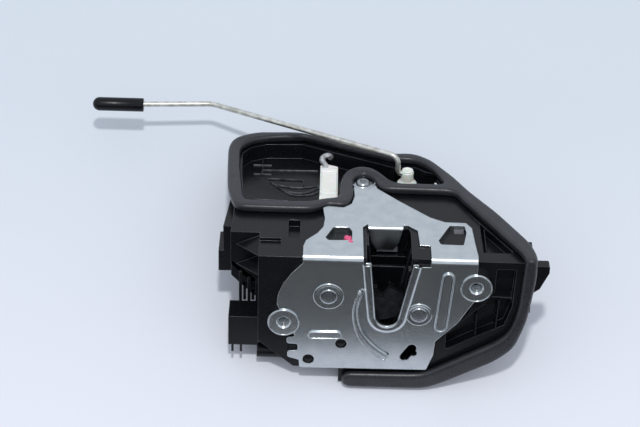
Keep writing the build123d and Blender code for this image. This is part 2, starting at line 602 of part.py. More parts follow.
def make_lever_rooms():
    """Spaces below the rim for the lock lever, the rod clip and the release lever."""
    rooms = along_z(outline(CLIP_ROOM, 2.0), clip_floor, rim_under)
    rooms += along_z(clip_travel(CLIP_FLANGE_DIAMETER / 2 + MOVING_GAP), clip_floor, HOUSING_TOP + 1)
    rooms += along_z(outline(LOCK_ROOM, 2.0), clip_floor, lock_lever_high + 1.4)
    sweep_face = sector(LOCK_PIVOT, sector_radius + tooth_tip + MOVING_GAP,
                        180 + mesh_angle - SECTOR_MARGIN - LOCK_SWING,
                        180 + mesh_angle + LOCK_SWING + SECTOR_END_ROOM)
    rooms += along_z(sweep_face, clip_floor, lock_lever_high + 1.4)
    rooms += disc_z(gear_centre, pinion_radius + tooth_tip + MOVING_GAP, motor_middle, lock_lever_high + 1.4)
    rooms += along_z(sector(RELEASE_PIVOT, RELEASE_REACH, 80, 98 + RELEASE_SWING), recess_floor, rim_under)
    rooms += disc_z(LOCK_PIVOT, LEVER_PIN_RADIUS, lock_lever_low - 2.0, clip_floor + 1)
    rooms += disc_z(RELEASE_PIVOT, 6.0, recess_floor, rim_under)
    rooms += disc_z(RELEASE_PIVOT, LEVER_PIN_RADIUS, release_low - 2.0, recess_floor + 1)
    return rooms + disc_z(TAB_SCREW, TAB_SCREW_RADIUS - 0.1, TAB_SCREW_TIP, 0)


def make_actuator_room():
    """Closed space below the recess for the motor, worm and gear."""
    length, width, height = MOTOR_SIZE
    x, y = MOTOR_CENTRE
    low, high = motor_middle - height / 2 - SEAT_GAP, motor_roof
    room = block((x - length / 2 - SEAT_GAP, worm_start + SEAT_GAP),
                 (y - width / 2 - SEAT_GAP, y + width / 2 + SEAT_GAP), (low, high))
    room += block((worm_start, worm_start + WORM_LENGTH + 5.0),
                  (y - WORM_RADIUS - 1, y + WORM_RADIUS + 1), (motor_middle - 4.2, motor_middle + 4.2))
    gear_low, gear_high = motor_middle - GEAR_THICKNESS / 2, motor_middle + GEAR_THICKNESS / 2
    room += disc_z(gear_centre, GEAR_RADIUS + 1, gear_low - SEAT_GAP, gear_high + SEAT_GAP)
    room += block((23.7, 32.3), (45.7, 52.3), (clip_floor - 6.1, clip_floor + 0.1))
    room += disc_z(gear_centre, LEVER_PIN_RADIUS, gear_low - 1.5, gear_high + 1.5)
    return room


def make_rear_cover():
    """Flat cover behind the shut leg's moulding."""
    top = -INNER_ROOT_DEPTH - COVER_DROP
    face = outline([
        (-56.0, top), (-56.0, -50.0), (-45.0, -60.0), (18.0, -60.0), (44.0, -52.0), (54.0, top),
    ], 2.0)
    cover = along_y(face, SHUT_DEPTH, SHUT_DEPTH + COVER_THICKNESS)
    for at in COVER_SCREWS:
        cover -= disc_y(at, COVER_SCREW_RADIUS, SHUT_DEPTH - 1, SHUT_DEPTH + COVER_THICKNESS + 1)
    return cover


# ---------------------------------------------------------------- weather seal

def make_weather_seal():
    """Foam seal: a ring on the inner leg and a tail along the shut leg."""
    inner = make_ring_seal()
    tail = make_tail_seal()
    return inner + tail


def make_ring_seal():
    outer = outline([
        (-71.8, 38.2), (-74.4, 44.4), (-76.8, 56.0), (-77.8, 73.6), (-78.4, 92.2), (-76.0, 100.6),
        (-65.6, 106.4), (-43.0, 107.4), (1.4, 88.4), (11.8, 90.6), (20.6, 84.8), (31.6, 68.8),
        (37.6, 57.6), (50.2, 38.8), (63.6, 14.8), (66.4, 5.0), (66.4, -1.5), (60.8, -1.5),
        (60.2, 4.8), (33.4, 51.6), (31.0, 56.6), (-2.4, 57.2), (-5.0, 60.0), (-7.2, 66.8),
        (-12.4, 71.2), (-17.5, 65.4), (-16.9, 52.4), (-18.2, 45.2), (-21.6, 41.9), (-29.0, 43.0),
        (-31.4, 41.2), (-36.6, 38.0), (-53.0, 37.8),
    ], 1.6)
    window = outline([
        (-68.8, 45.8), (-66.4, 44.2), (-52.8, 43.9), (-37.4, 44.4), (-30.4, 47.4), (-23.4, 48.6),
        (-22.8, 66.4), (-20.0, 73.2), (-14.6, 76.8), (-8.4, 76.0), (-4.2, 71.8), (2.0, 62.4),
        (27.2, 62.6), (19.6, 78.0), (12.8, 83.6), (2.6, 82.8), (-41.4, 102.0), (-60.0, 101.2),
        (-68.4, 97.8), (-72.4, 91.8), (-71.8, 73.8),
    ], 3.0)
    window += clip_travel(CLIP_DIAMETER / 2 + MOVING_GAP)
    return along_z(outer - window, HOUSING_TOP, HOUSING_TOP + SEAL_HEIGHT)


def make_tail_seal():
    band = outline([
        (60.8, HOUSING_TOP + SEAL_HEIGHT), (66.4, HOUSING_TOP + SEAL_HEIGHT), (66.6, -10.4), (63.8, -34.2),
        (59.2, -48.8), (50.8, -56.6), (25.0, -71.0), (18.0, -73.6), (-20.4, -73.6), (-20.4, -65.4),
        (16.0, -65.0), (20.8, -63.0), (38.0, -52.8), (50.8, -45.2), (56.4, -39.4), (59.4, -27.2),
    ], 1.4)
    return along_y(band, HOUSING_FRONT - SEAL_HEIGHT, HOUSING_FRONT)


# ---------------------------------------------------------------- levers on the inner leg

def make_lever_pin(at, low, high):
    """Steel pin with a thin flanged head."""
    pin = disc_z(at, LEVER_PIN_RADIUS, low - 2.0, high + 0.2)
    return pin + disc_z(at, LEVER_PIN_RADIUS + 1.2, high + SEAT_GAP / 2, high + SEAT_GAP / 2 + 0.9)


SECTOR_TEETH = 5
SECTOR_MARGIN = 9.0              # degrees of web before the first tooth


def tooth_at(centre, radius, degrees):
    """One straight sided tooth, drawn pointing out from a pitch circle."""
    half = (math.pi * tooth_module / 2 - BACKLASH) / 2
    slope = math.tan(math.radians(20))
    tip, root = half - tooth_tip * slope, half + tooth_root * slope
    inner = -tooth_root - 0.2
    face = outline([(inner, -root), (tooth_tip, -tip), (tooth_tip, tip), (inner, root)])
    return Pos(*centre) * Rot(0, 0, degrees) * Pos(radius, 0) * face


def toothed_sector():
    """Teeth of the lock lever that mesh with the gear's pinion."""
    pitch = 360 / PINION_TEETH * LOCK_SWING / GEAR_SWING
    first = 180 + mesh_angle - pitch / 2
    web = sector(LOCK_PIVOT, sector_radius - tooth_root, first - SECTOR_MARGIN / 2,
                 first + (SECTOR_TEETH - 1) * pitch + SECTOR_MARGIN / 2)
    for tooth in range(SECTOR_TEETH):
        web += tooth_at(LOCK_PIVOT, sector_radius, first + tooth * pitch)
    return web


def make_lock_lever():
    """Lever that carries the rod clip and is turned by the gear's pinion."""
    run = (CLIP_CENTRE[0] - LOCK_PIVOT[0], CLIP_CENTRE[1] - LOCK_PIVOT[1])
    hub = Pos(*LOCK_PIVOT) * Circle(5.5)
    eye = Pos(*CLIP_CENTRE) * Circle(4.2)
    arm = slot_between(LOCK_PIVOT, CLIP_CENTRE, 6.0)
    lever = along_z(hub + eye + arm + toothed_sector(), lock_lever_low, lock_lever_high)
    lever -= disc_z(LOCK_PIVOT, LEVER_PIN_RADIUS + RUNNING_GAP, -40, 10)
    return lever - disc_z(CLIP_CENTRE, CLIP_STEM_RADIUS + RUNNING_GAP, -40, 10)


CLIP_STEM_RADIUS = 2.0
CLIP_TOP = 1.6
CLIP_FLANGE_HEIGHTS = (-5.4, -4.2)


def make_rod_clip():
    """White nylon clip: stem in the lever, flared flange, round head."""
    low, high = CLIP_FLANGE_HEIGHTS
    clip = disc_z(CLIP_CENTRE, CLIP_STEM_RADIUS, lock_lever_low, low + 0.5)
    clip += disc_z(CLIP_CENTRE, CLIP_STEM_RADIUS + 1.2, lock_lever_high + SEAT_GAP / 2, low + 0.5)
    flare = Cone(CLIP_FLANGE_DIAMETER / 2, CLIP_DIAMETER / 2, high - low + 0.6)
    clip += Pos(*CLIP_CENTRE, low + (high - low + 0.6) / 2) * flare
    head = disc_z(CLIP_CENTRE, CLIP_DIAMETER / 2, low + 0.5, CLIP_TOP)
    clip += chamfer(head.edges().sort_by(Axis.Z)[-1], 0.8)
    return clip - rod_solid()


def rod_route():
    """The bent rod's centre line, from the cap to the clip."""
    x, y = CLIP_CENTRE
    drop = x - 4.9
    return FilletPolyline(
        (-142.0, 115.2, ROD_HEIGHT), (-88.0, 118.7, ROD_HEIGHT), (drop, y + 0.2, ROD_HEIGHT),
        (drop + 0.3, y, 0.0), (x + 1.0, y, 0.0),
        radius=list(ROD_BEND_RADII),
    )


def rod_solid():
    route = rod_route()
    section = Plane(origin=route @ 0, z_dir=route % 0) * Circle(ROD_DIAMETER / 2)
    return sweep(section, path=route)


def make_rod_cap():
    """Push-on plastic cap at the rod's upper end."""
    tip = (-147.0, 114.9, ROD_HEIGHT)
    cap = Cylinder(CAP_DIAMETER / 2, CAP_LENGTH, align=(Align.CENTER, Align.CENTER, Align.MIN))
    cap = chamfer(cap.edges().filter_by(GeomType.CIRCLE).sort_by(Axis.Z)[0], 1.7)
    start, end = rod_route() @ 0, rod_route() % 0
    placed = Plane(origin=tip, z_dir=(end.X, end.Y, end.Z)) * cap
    return placed - rod_solid()


RELEASE_REACH = 34.0             # of the inside release lever, swept under the rim
RELEASE_ARM = [(-33.0, 59.0), (-33.0, 86.6), (-31.4, 89.0), (-24.4, 86.2), (-24.4, 59.0)]


def make_inner_release_lever():
    """Cream lever worked by the inside handle's cable."""
    low, high = release_low, release_high
    face = outline(RELEASE_ARM, 0.8) + outline([(-33.0, 62), (-33.4, 50), (-24.0, 50), (-24.4, 62)])
    face += Pos(*RELEASE_PIVOT) * Circle(4.9)
    lever = along_z(face, low, high)
    lever += block((-33.0, -31.8), (60.0, 84.0), (low - 1.4, low))
    lever += block((-25.6, -24.4), (60.0, 84.0), (low - 1.4, low))
    return lever - disc_z(RELEASE_PIVOT, LEVER_PIN_RADIUS + RUNNING_GAP, -40, 10)


def make_release_hook():
    """Steel hook on the lever's tip that holds the cable's nipple."""
    shank = slot_between((-30.6, 84.0), (-30.6, 91.4), 2.6)
    nose = arc_band((-30.6, 91.0), 2.4, -20, 200, 2.0)
    return along_z(shank + nose, release_high, release_high + 1.5)


def outer_lever_face(turn=0.0, grow=0.0):
    """Outline of the outside release lever, turned about its pin and widened."""
    face = Circle(5.0 + grow) + slot_between((0, 0), OUTER_HANDLE_ARM, 5.0 + 2 * grow)
    face += slot_between((0, 0), OUTER_PAWL_ARM, 5.0 + 2 * grow)
    return Pos(*OUTER_PIVOT) * Rot(0, 0, turn) * face


def make_outer_release_lever():
    """Steel lever behind the shut leg, worked by the outside handle."""
    lever = along_y(outer_lever_face(), outer_lever_front, outer_lever_back)
    return lever - disc_y(OUTER_PIVOT, LEVER_PIN_RADIUS + RUNNING_GAP, 0, 40)


OUTER_POCKET = [
    (-55.0, -35.0), (-44.0, -35.0), (-30.0, -40.0), (-8.0, -38.0), (-6.0, -54.0),
    (-30.0, -56.0), (-44.0, -52.0), (-55.0, -49.0),
]


# ---------------------------------------------------------------- lock actuator

def make_lock_motor():
    """Small flat sided motor with a boss round its shaft."""
    length, width, height = MOTOR_SIZE
    can = Pos(*MOTOR_CENTRE, motor_middle) * Box(length, width, height)
    can = fillet(can.edges().filter_by(Axis.X), 3.5)
    boss = Pos(MOTOR_CENTRE[1], motor_middle) * Circle(3.0)
    return can + along_x(boss, worm_start, worm_start + 1.0)


def make_worm():
    """Worm on the motor's shaft, its thread drawn as plain rings."""
    centre = Pos(MOTOR_CENTRE[1], motor_middle)
    start = worm_start + 1.0 + SEAT_GAP
    worm = along_x(centre * Circle(WORM_RADIUS), start, start + WORM_LENGTH)
    grooves = centre * Circle(WORM_RADIUS + 1) - centre * Circle(WORM_RADIUS - 0.9)
    for turn in range(5):
        place = start + 1.6 + 2.4 * turn
        worm -= along_x(grooves, place, place + 1.2)
    return worm


def make_worm_gear():
    """Gear driven by the worm, with a pinion on top for the lock lever's sector."""
    teeth = Pos(*gear_centre) * Circle(GEAR_RADIUS)
    gap = Pos(GEAR_RADIUS, 0) * Rot(0, 0, 45) * Rectangle(1.5, 1.5)
    for tooth in range(GEAR_TEETH):
        teeth -= Pos(*gear_centre) * Rot(0, 0, 360 * tooth / GEAR_TEETH) * gap
    gear = along_z(teeth, motor_middle - GEAR_THICKNESS / 2, motor_middle + GEAR_THICKNESS / 2)
    pinion = Pos(*gear_centre) * Circle(pinion_radius - tooth_root)
    for tooth in range(PINION_TEETH):
        pinion += tooth_at(gear_centre, pinion_radius, mesh_angle + 360 * tooth / PINION_TEETH)
    gear += along_z(pinion, motor_middle + GEAR_THICKNESS / 2 - 0.01, lock_lever_high)
    return gear - disc_z(gear_centre, LEVER_PIN_RADIUS + RUNNING_GAP, -60, 10)


def make_gear_pin():
    """Fixed pin under the gear, up through its pinion."""
    low = motor_middle - GEAR_THICKNESS / 2 - 1.5
    return disc_z(gear_centre, LEVER_PIN_RADIUS, low, lock_lever_high)


def make_lock_switch():
    """Micro switch read by the lock lever."""
    return block((24.0, 32.0), (46.0, 52.0), (clip_floor - 5.8, clip_floor - SEAT_GAP))


def make_fork_switch():
    """Door-ajar micro switch beside the fork."""
    body = block((26.6, 33.4), (3.2, 9.6), (-30.0, -18.0))
    return body + block((25.8, 26.6), (5.0, 8.0), (-28.0, -20.0))


CONNECTOR_X = (-74.0, -60.0)
CONNECTOR_Y = (8.6, 21.6)
CONNECTOR_Z = (-57.4, -41.2)


def make_connector_shell():
    """Socket shell that opens downwards, with two latching tabs."""
    wall = 1.5
    shell = block(CONNECTOR_X, CONNECTOR_Y, CONNECTOR_Z)
    inside = [(CONNECTOR_X[0] + wall, CONNECTOR_X[1] - wall), (CONNECTOR_Y[0] + wall, CONNECTOR_Y[1] - wall)]
    shell -= block(*inside, (CONNECTOR_Z[0] - 1, CONNECTOR_Z[0] + 12.0))
    for x_from in (CONNECTOR_X[0] + 1.4, CONNECTOR_X[0] + 5.4):
        shell += block((x_from, x_from + 1.1), (CONNECTOR_Y[0], CONNECTOR_Y[0] + wall),
                       (CONNECTOR_Z[0] - 4.0, CONNECTOR_Z[0]))
    return shell


def make_connector_pins():
    """Contact blades standing in the socket."""
    top = CONNECTOR_Z[0] + 12.0
    blades = []
    for row in (13.4, 16.8):
        for column in range(4):
            x_from = CONNECTOR_X[0] + 3.4 + 2.4 * column
            blades.append(block((x_from, x_from + 0.7), (row, row + 0.7), (top - 7.0, top)))
    return Compound(children=blades)


def make_tab_screw():
    """Low headed screw that lies in the tab's dish, below the plate's face."""
    seat = -TAB_DROP
    screw = disc_z(TAB_SCREW, TAB_SCREW_RADIUS - 0.1, TAB_SCREW_TIP, seat + 0.2)
    head = disc_z(TAB_SCREW, 3.3, seat, seat + TAB_HEAD_HEIGHT)
    head = chamfer(head.edges().sort_by(Axis.Z)[-1], 0.6)
    return screw + head - disc_z(TAB_SCREW, 1.3, seat + 0.4, 2.0)


COVER_SCREWS = [(-42.0, -57.0), (-14.0, -57.4), (16.0, -57.0), (40.0, -48.0), (48.0, -36.0)]
COVER_SCREW_RADIUS = 1.4


def make_cover_screws():
    """Identical pan screws that hold the rear cover."""
    screws = []
    for at in COVER_SCREWS:
        screw = disc_y(at, COVER_SCREW_RADIUS, SHUT_DEPTH - 6.0, SHUT_DEPTH + COVER_THICKNESS + 0.2)
        screw += disc_y(at, 3.0, SHUT_DEPTH + COVER_THICKNESS, SHUT_DEPTH + COVER_THICKNESS + 1.6)
        screws.append(screw)
    return Compound(children=screws)


# ---------------------------------------------------------------- write the pieces

def write(name, shape):
    export_step(shape, f"parts/{name}.step")


def main():
    os.makedirs("parts", exist_ok=True)
    pieces = {
        "latch_plate": make_latch_plate(),
        "fork_pivot": rivet(FORK_PIVOT, FORK_PIVOT_RADIUS),
        "pawl_pivot": rivet(PAWL_PIVOT, PAWL_PIVOT_RADIUS),
        "backing_plate": make_backing_plate(),
        "fork_bolt": make_fork(),
        "fork_coating": make_fork_coating(),
        "pawl": make_pawl(),
        "fork_spring": torsion_spring(FORK_PIVOT, FORK_PIVOT_RADIUS, 250),
        "pawl_spring": torsion_spring(PAWL_PIVOT, PAWL_PIVOT_RADIUS, 20),
        "mouth_liner": make_mouth_liner(),
        "striker_bumper": make_striker_bumper(),
        "keeper_strip": make_keeper_strip(),
        "carrier_housing": make_carrier_housing(),
        "rear_cover": make_rear_cover(),
        "weather_seal": make_weather_seal(),
        "lock_lever": make_lock_lever(),
        "lock_lever_pin": make_lever_pin(LOCK_PIVOT, lock_lever_low, lock_lever_high),
        "rod_clip": make_rod_clip(),
        "lock_rod": rod_solid(),
        "rod_cap": make_rod_cap(),
        "inner_release_lever": make_inner_release_lever(),
        "release_hook": make_release_hook(),
        "release_lever_pin": make_lever_pin(RELEASE_PIVOT, release_low, release_high),
        "outer_release_lever": make_outer_release_lever(),
        "outer_lever_pin": disc_y(OUTER_PIVOT, LEVER_PIN_RADIUS, web_back - 2, SHUT_DEPTH),
        "lock_motor": make_lock_motor(),
        "worm": make_worm(),
        "worm_gear": make_worm_gear(),
        "gear_pin": make_gear_pin(),
        "lock_switch": make_lock_switch(),
        "fork_switch": make_fork_switch(),
        "connector_shell": make_connector_shell(),
        "connector_pins": make_connector_pins(),
        "tab_screw": make_tab_screw(),
        "cover_screws": make_cover_screws(),
    }
    for name, shape in pieces.items():
        write(name, shape)


main()
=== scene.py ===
"""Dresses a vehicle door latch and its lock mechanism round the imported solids.

Frame, in metres: X runs along the plate's fold, Y from the shut face into the door, Z out of the plate's
inner leg.  Sizes in this file are in millimetres and turned to metres where a mesh is made.
"""
import logging
import math
from collections.abc import Sequence
from dataclasses import dataclass
from enum import Enum

import bmesh
import bpy
from bpy.types import ID, Material, Mesh, Node, NodeSocket, NodeTree, Object, World
from mathutils import Matrix, Vector


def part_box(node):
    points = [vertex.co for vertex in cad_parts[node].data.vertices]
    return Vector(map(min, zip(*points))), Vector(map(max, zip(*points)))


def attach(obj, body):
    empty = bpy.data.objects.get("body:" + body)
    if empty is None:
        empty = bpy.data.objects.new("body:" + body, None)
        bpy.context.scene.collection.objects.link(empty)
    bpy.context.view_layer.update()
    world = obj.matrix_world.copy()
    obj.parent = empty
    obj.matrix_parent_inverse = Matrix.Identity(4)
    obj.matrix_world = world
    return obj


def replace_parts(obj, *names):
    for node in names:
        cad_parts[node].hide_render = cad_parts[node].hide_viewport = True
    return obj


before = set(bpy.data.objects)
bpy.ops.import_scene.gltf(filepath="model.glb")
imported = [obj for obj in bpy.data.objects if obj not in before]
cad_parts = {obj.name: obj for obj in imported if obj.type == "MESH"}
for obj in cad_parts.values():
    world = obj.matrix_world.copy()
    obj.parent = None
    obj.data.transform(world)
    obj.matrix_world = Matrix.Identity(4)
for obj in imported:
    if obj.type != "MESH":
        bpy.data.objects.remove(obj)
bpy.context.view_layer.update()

MM = 0.001
log = logging.getLogger("door_latch")

Pair = tuple[float, float]
Point2 = tuple[float, float]
Point3 = tuple[float, float, float]
Line = Sequence[Point2]


# ---------- colours and node graphs

# Sockets of a Mix node that mixes colours: its two colours and its result.
MIX_A, MIX_B, MIX_RESULT = 6, 7, 2


def linear(hex_colour: str) -> tuple[float, float, float, float]:
    """Turn an sRGB hex colour to linear red, green, blue and alpha.

    Args:
        hex_colour: six hex digits, with or without a leading #.

    Returns:
        Linear components with alpha 1.
    """
    knee, slope, shift, power = 0.04045, 12.92, 0.055, 2.4
    digits = hex_colour.lstrip("#")
    parts = [int(digits[i:i + 2], 16) / 255 for i in (0, 2, 4)]
    red, green, blue = (c / slope if c <= knee else ((c + shift) / (1 + shift)) ** power for c in parts)
    return red, green, blue, 1.0


def add(tree: NodeTree, kind: str, links: dict | None = None, values: dict | None = None, **settings: object
        ) -> Node:
    """Add a node to a tree with its settings, socket values and incoming links.

    Args:
        tree: the node tree that gets the node.
        kind: the node's type name.
        links: input socket name or index to the output socket that feeds it.
        values: input socket name or index to its own value.
        **settings: properties of the node itself.

    Returns:
        The new node.
    """
    node = tree.nodes.new(kind)
    for name, value in settings.items():
        setattr(node, name, value)
    for name, value in (values or {}).items():
        node.inputs[name].default_value = value
    for name, source in (links or {}).items():
        tree.links.new(source, node.inputs[name])
    return node


def empty_tree(owner: Material | World) -> NodeTree:
    """Give a material or a world a node tree with nothing in it.

    Args:
        owner: the material or world.

    Returns:
        Its node tree.
    """
    owner.use_nodes = True
    owner.node_tree.nodes.clear()
    return owner.node_tree


def per_metre(size_mm: float) -> float:
    """Turn the size of a noise's features to its scale.

    Args:
        size_mm: how far across they are, in millimetres.

    Returns:
        How many of them make a metre.
    """
    return 1 / (size_mm * MM)


# ---------- finishes

# Parts of a noise's values between which the colours blend, the gloss varies and the lighter edges, part
# rubbing and part painted highlight, break up.
COLOUR_BLEND = {"From Min": 0.35, "From Max": 0.65}
GLOSS_BLEND = {"From Min": 0.3, "From Max": 0.7}
WEAR_AND_HIGHLIGHT_BREAKS = {"From Min": 0.4, "From Max": 0.6, "To Min": 0.35}
# Cosine between the rounded and the flat normal where the lighter edge, part rubbing and part painted
# highlight, starts and where it is full.
WEAR_AND_HIGHLIGHT_REACH = {"From Min": 0.985, "From Max": 0.86}
# Change of roughness on a fully lightened edge, and how deep light scatters in a milky plastic.
WEAR_GLOSS, SCATTER_MM = -0.12, 1.2
PATCH_DETAIL, GRAIN_DETAIL, EDGE_SAMPLES = 3.0, 2.0, 6


class Base(Enum):
    """What the surface is, as far as light is concerned."""

    METAL = 1.0
    POLYMER = 0.0


@dataclass(frozen=True)
class Finish:
    """A surface as it was made: its colours, gloss and grain, and its edges painted lighter, partly rubbing and
    partly a painted highlight.

    Fields ending in _mm are millimetres.  The real grain of most of these surfaces is 0.02 to 0.2 mm
    across, too fine to show, so grain_mm is as coarse as it needs to be to show.
    """

    name: str
    base: Base
    colour: str
    patch_colour: str
    roughness: float
    rough_spread: float
    patch_mm: float
    grain_mm: float
    grain_height_mm: float
    edge_mm: float = 0.25
    edge_wear_and_highlight_colour: str = ""
    edge_wear_and_highlight: float = 0.0
    glow_through: float = 0.0
    specular: float = 0.5

    def material(self) -> Material:
        """Build the material on first use.

        Returns:
            The one material of this name.
        """
        known = bpy.data.materials.get(self.name)
        if known:
            return known
        made = bpy.data.materials.new(self.name)
        tree = empty_tree(made)
        place = add(tree, "ShaderNodeTexCoord")
        patch, grain = (add(tree, "ShaderNodeTexNoise", {"Vector": place.outputs["Object"]},
                            {"Scale": per_metre(size), "Detail": detail})
                        for size, detail in ((self.patch_mm, PATCH_DETAIL), (self.grain_mm, GRAIN_DETAIL)))
        edge = add(tree, "ShaderNodeBevel", values={"Radius": self.edge_mm * MM}, samples=EDGE_SAMPLES)
        bump = add(tree, "ShaderNodeBump", {"Height": grain.outputs["Fac"], "Normal": edge.outputs["Normal"]},
                   {"Strength": 1.0, "Distance": self.grain_height_mm * MM})
        blend = add(tree, "ShaderNodeMapRange", {"Value": patch.outputs["Fac"]}, COLOUR_BLEND)
        colour = add(tree, "ShaderNodeMix", {"Factor": blend.outputs["Result"]},
                     {MIX_A: linear(self.colour), MIX_B: linear(self.patch_colour)}, data_type="RGBA")
        gloss = add(tree, "ShaderNodeMapRange", {"Value": grain.outputs["Fac"]},
                    {**GLOSS_BLEND, "To Min": self.roughness - self.rough_spread,
                     "To Max": self.roughness + self.rough_spread})
        shown, rough = colour.outputs[MIX_RESULT], gloss.outputs["Result"]
        if self.edge_wear_and_highlight:
            shown, rough = self._wear_and_highlight_edges(tree, edge, patch, shown, rough)
        shader = add(tree, "ShaderNodeBsdfPrincipled",
                     {"Base Color": shown, "Roughness": rough, "Normal": bump.outputs["Normal"]},
                     {"Metallic": self.base.value, "Specular IOR Level": self.specular})
        if self.glow_through:
            shader.inputs["Subsurface Weight"].default_value = self.glow_through
            shader.inputs["Subsurface Scale"].default_value = SCATTER_MM * MM
        add(tree, "ShaderNodeOutputMaterial", {"Surface": shader.outputs["BSDF"]})
        return made

    def _wear_and_highlight_edges(self, tree: NodeTree, edge: Node, patch: Node, shown: NodeSocket, rough: NodeSocket
              ) -> tuple[NodeSocket, NodeSocket]:
        """Lighten the edges, partly as rubbing and partly as a painted highlight: paler and glossier where the
        rounded normal leaves the flat one.

        Args:
            tree: the material's node tree.
            edge: the node that rounds the edges.
            patch: the noise that breaks the lighter edges up.
            shown: the colour without the lighter edges.
            rough: the roughness without the lighter edges.

        Returns:
            The colour and the roughness with the lighter edges, part rubbing and part painted highlight.
        """
        flat = add(tree, "ShaderNodeNewGeometry")
        lean = add(tree, "ShaderNodeVectorMath", {0: flat.outputs["Normal"], 1: edge.outputs["Normal"]},
                   operation="DOT_PRODUCT")
        edge_wear_and_highlight_share = add(tree, "ShaderNodeMapRange", {"Value": lean.outputs["Value"]},
                  {**WEAR_AND_HIGHLIGHT_REACH, "To Max": self.edge_wear_and_highlight})
        breaks = add(tree, "ShaderNodeMapRange", {"Value": patch.outputs["Fac"]}, WEAR_AND_HIGHLIGHT_BREAKS)
        wear_and_highlight_mask = add(tree, "ShaderNodeMath", {0: edge_wear_and_highlight_share.outputs["Result"], 1: breaks.outputs["Result"]},
                   operation="MULTIPLY")
        mixed = add(tree, "ShaderNodeMix", {"Factor": wear_and_highlight_mask.outputs[0], MIX_A: shown},
                    {MIX_B: linear(self.edge_wear_and_highlight_colour)}, data_type="RGBA")
        smooth = add(tree, "ShaderNodeMath", {0: wear_and_highlight_mask.outputs[0]}, {1: WEAR_GLOSS}, operation="MULTIPLY")
        total = add(tree, "ShaderNodeMath", {0: rough, 1: smooth.outputs[0]}, operation="ADD")
        return mixed.outputs[MIX_RESULT], total.outputs[0]


# Where a finish has an edge colour, its edges are painted lighter: partly rubbing, partly a painted highlight.
# Zinc plated sheet with a clear passivate: a fairly bright grey metal, faintly mottled by the plating.
ZINC_SHEET = Finish("zinc_plated_sheet_steel", Base.METAL, "#CBD1D2", "#C0C7CA", 0.21, 0.05, 6.0, 0.8, 0.0018,
                    0.45, "#F0F3F4", 0.85)
# Cold formed rivet heads and levers, bare or oiled: a little darker and duller than the plate.
FORMED_STEEL = Finish("cold_formed_steel", Base.METAL, "#B9BEC1", "#A0A5A9", 0.26, 0.06, 4.0, 0.6, 0.005, 0.25,
                      "#E4E7E8", 0.5)
# Ground strip, its scratches scattering the light: bright from every side.
GROUND_STEEL = Finish("ground_steel_strip", Base.METAL, "#DADDDD", "#C8CCCD", 0.55, 0.06, 2.0, 0.4, 0.01)
# Bent hook, tumbled bright: pale, with a soft even scatter.
TUMBLED_STEEL = Finish("tumbled_steel", Base.METAL, "#E4E5E4", "#C2C4C5", 0.50, 0.08, 2.0, 0.5, 0.008)
# Forged fork and pawl under a manganese phosphate: nearly black crystals that drink the light.
PHOSPHATED_STEEL = Finish("phosphated_forged_steel", Base.METAL, "#2B2C2E", "#3A3B3E", 0.50, 0.08, 3.0, 0.5,
                          0.01, 0.3, "#7B7D80", 0.35)
# Hardened and oiled spring wire: dark grey steel with a thin sheen.
SPRING_WIRE = Finish("oiled_spring_steel", Base.METAL, "#6A6D70", "#55585B", 0.32, 0.06, 3.0, 0.3, 0.003)
# Polyester overmoulding on the fork: black, smooth and slightly greasy.
FORK_JACKET = Finish("overmoulded_polyester", Base.POLYMER, "#08090A", "#0E0F10", 0.30, 0.06, 6.0, 0.5, 0.004,
                     0.3, "#2A2B2E", 0.3, specular=0.3)
# Glass filled polyamide from an eroded tool: black with a fine satin grain, its edges painted grey as a painted
# highlight.
BLACK_POLYAMIDE = Finish("moulded_black_polyamide", Base.POLYMER, "#0E0F12", "#121316", 0.24, 0.04, 18.0, 1.4,
                         0.002, 0.5, "#65676F", 0.7, specular=0.24)
# The same polyamide on the window's ribs and rest, painted a broken grey: on the ribs a painted highlight along
# their tops, lighter still on their edges; on the rest in the right window, the lighter grey seen there.
GREY_HIGHLIGHT_POLYAMIDE = Finish("black_polyamide_grey_highlights", Base.POLYMER, "#1B1C1F", "#5C5E63", 0.30, 0.05, 3.5, 0.8,
                          0.004, 0.3, "#6A6C70", 0.5, specular=0.4)
# Closed cell sponge rubber: charcoal, its skin softly shining between fine pores.
SEAL_SPONGE = Finish("skinned_sponge_rubber", Base.POLYMER, "#222327", "#292A2E", 0.34, 0.09, 9.0, 0.9, 0.03,
                     0.6, "#3C3E42", 0.25)
# Rubber stop: plain black and matt.
STOP_RUBBER = Finish("moulded_rubber", Base.POLYMER, "#101011", "#18181A", 0.55, 0.06, 6.0, 0.8, 0.02)
# Moulded acetal: off white and smooth, with a breath of cream.
CREAM_ACETAL = Finish("moulded_cream_acetal", Base.POLYMER, "#FAF9F4", "#F3F1E8", 0.36, 0.06, 9.0, 0.6, 0.006,
                      0.4, "#F2F1EA", 0.4, glow_through=0.25)
# Natural nylon: milky, a little see-through and waxy.
NATURAL_NYLON = Finish("moulded_natural_nylon", Base.POLYMER, "#F4F5F0", "#EEEDDC", 0.30, 0.05, 3.0, 0.5,
                       0.004, 0.5, "#F4F4EC", 0.3, glow_through=0.45)
# Drawn wire with a hot zinc coat: pale grey, uneven and fairly matt.
GALVANISED_WIRE = Finish("galvanised_drawn_wire", Base.METAL, "#DEDED8", "#B9B9AF", 0.46, 0.10, 3.0, 0.35,
                         0.008, 0.2, "#E2E2DC", 0.4)
# Dipped vinyl cap: soft, black and fairly glossy.
DIPPED_VINYL = Finish("dipped_vinyl", Base.POLYMER, "#06070B", "#0B0C11", 0.28, 0.05, 8.0, 1.0, 0.006, 1.0,
                      specular=0.25)
# Deep drawn motor can under nickel: smooth, warm grey and shiny.
DRAWN_CAN = Finish("drawn_nickel_plated_can", Base.METAL, "#B9BBB8", "#A5A7A4", 0.28, 0.06, 8.0, 0.4, 0.004)
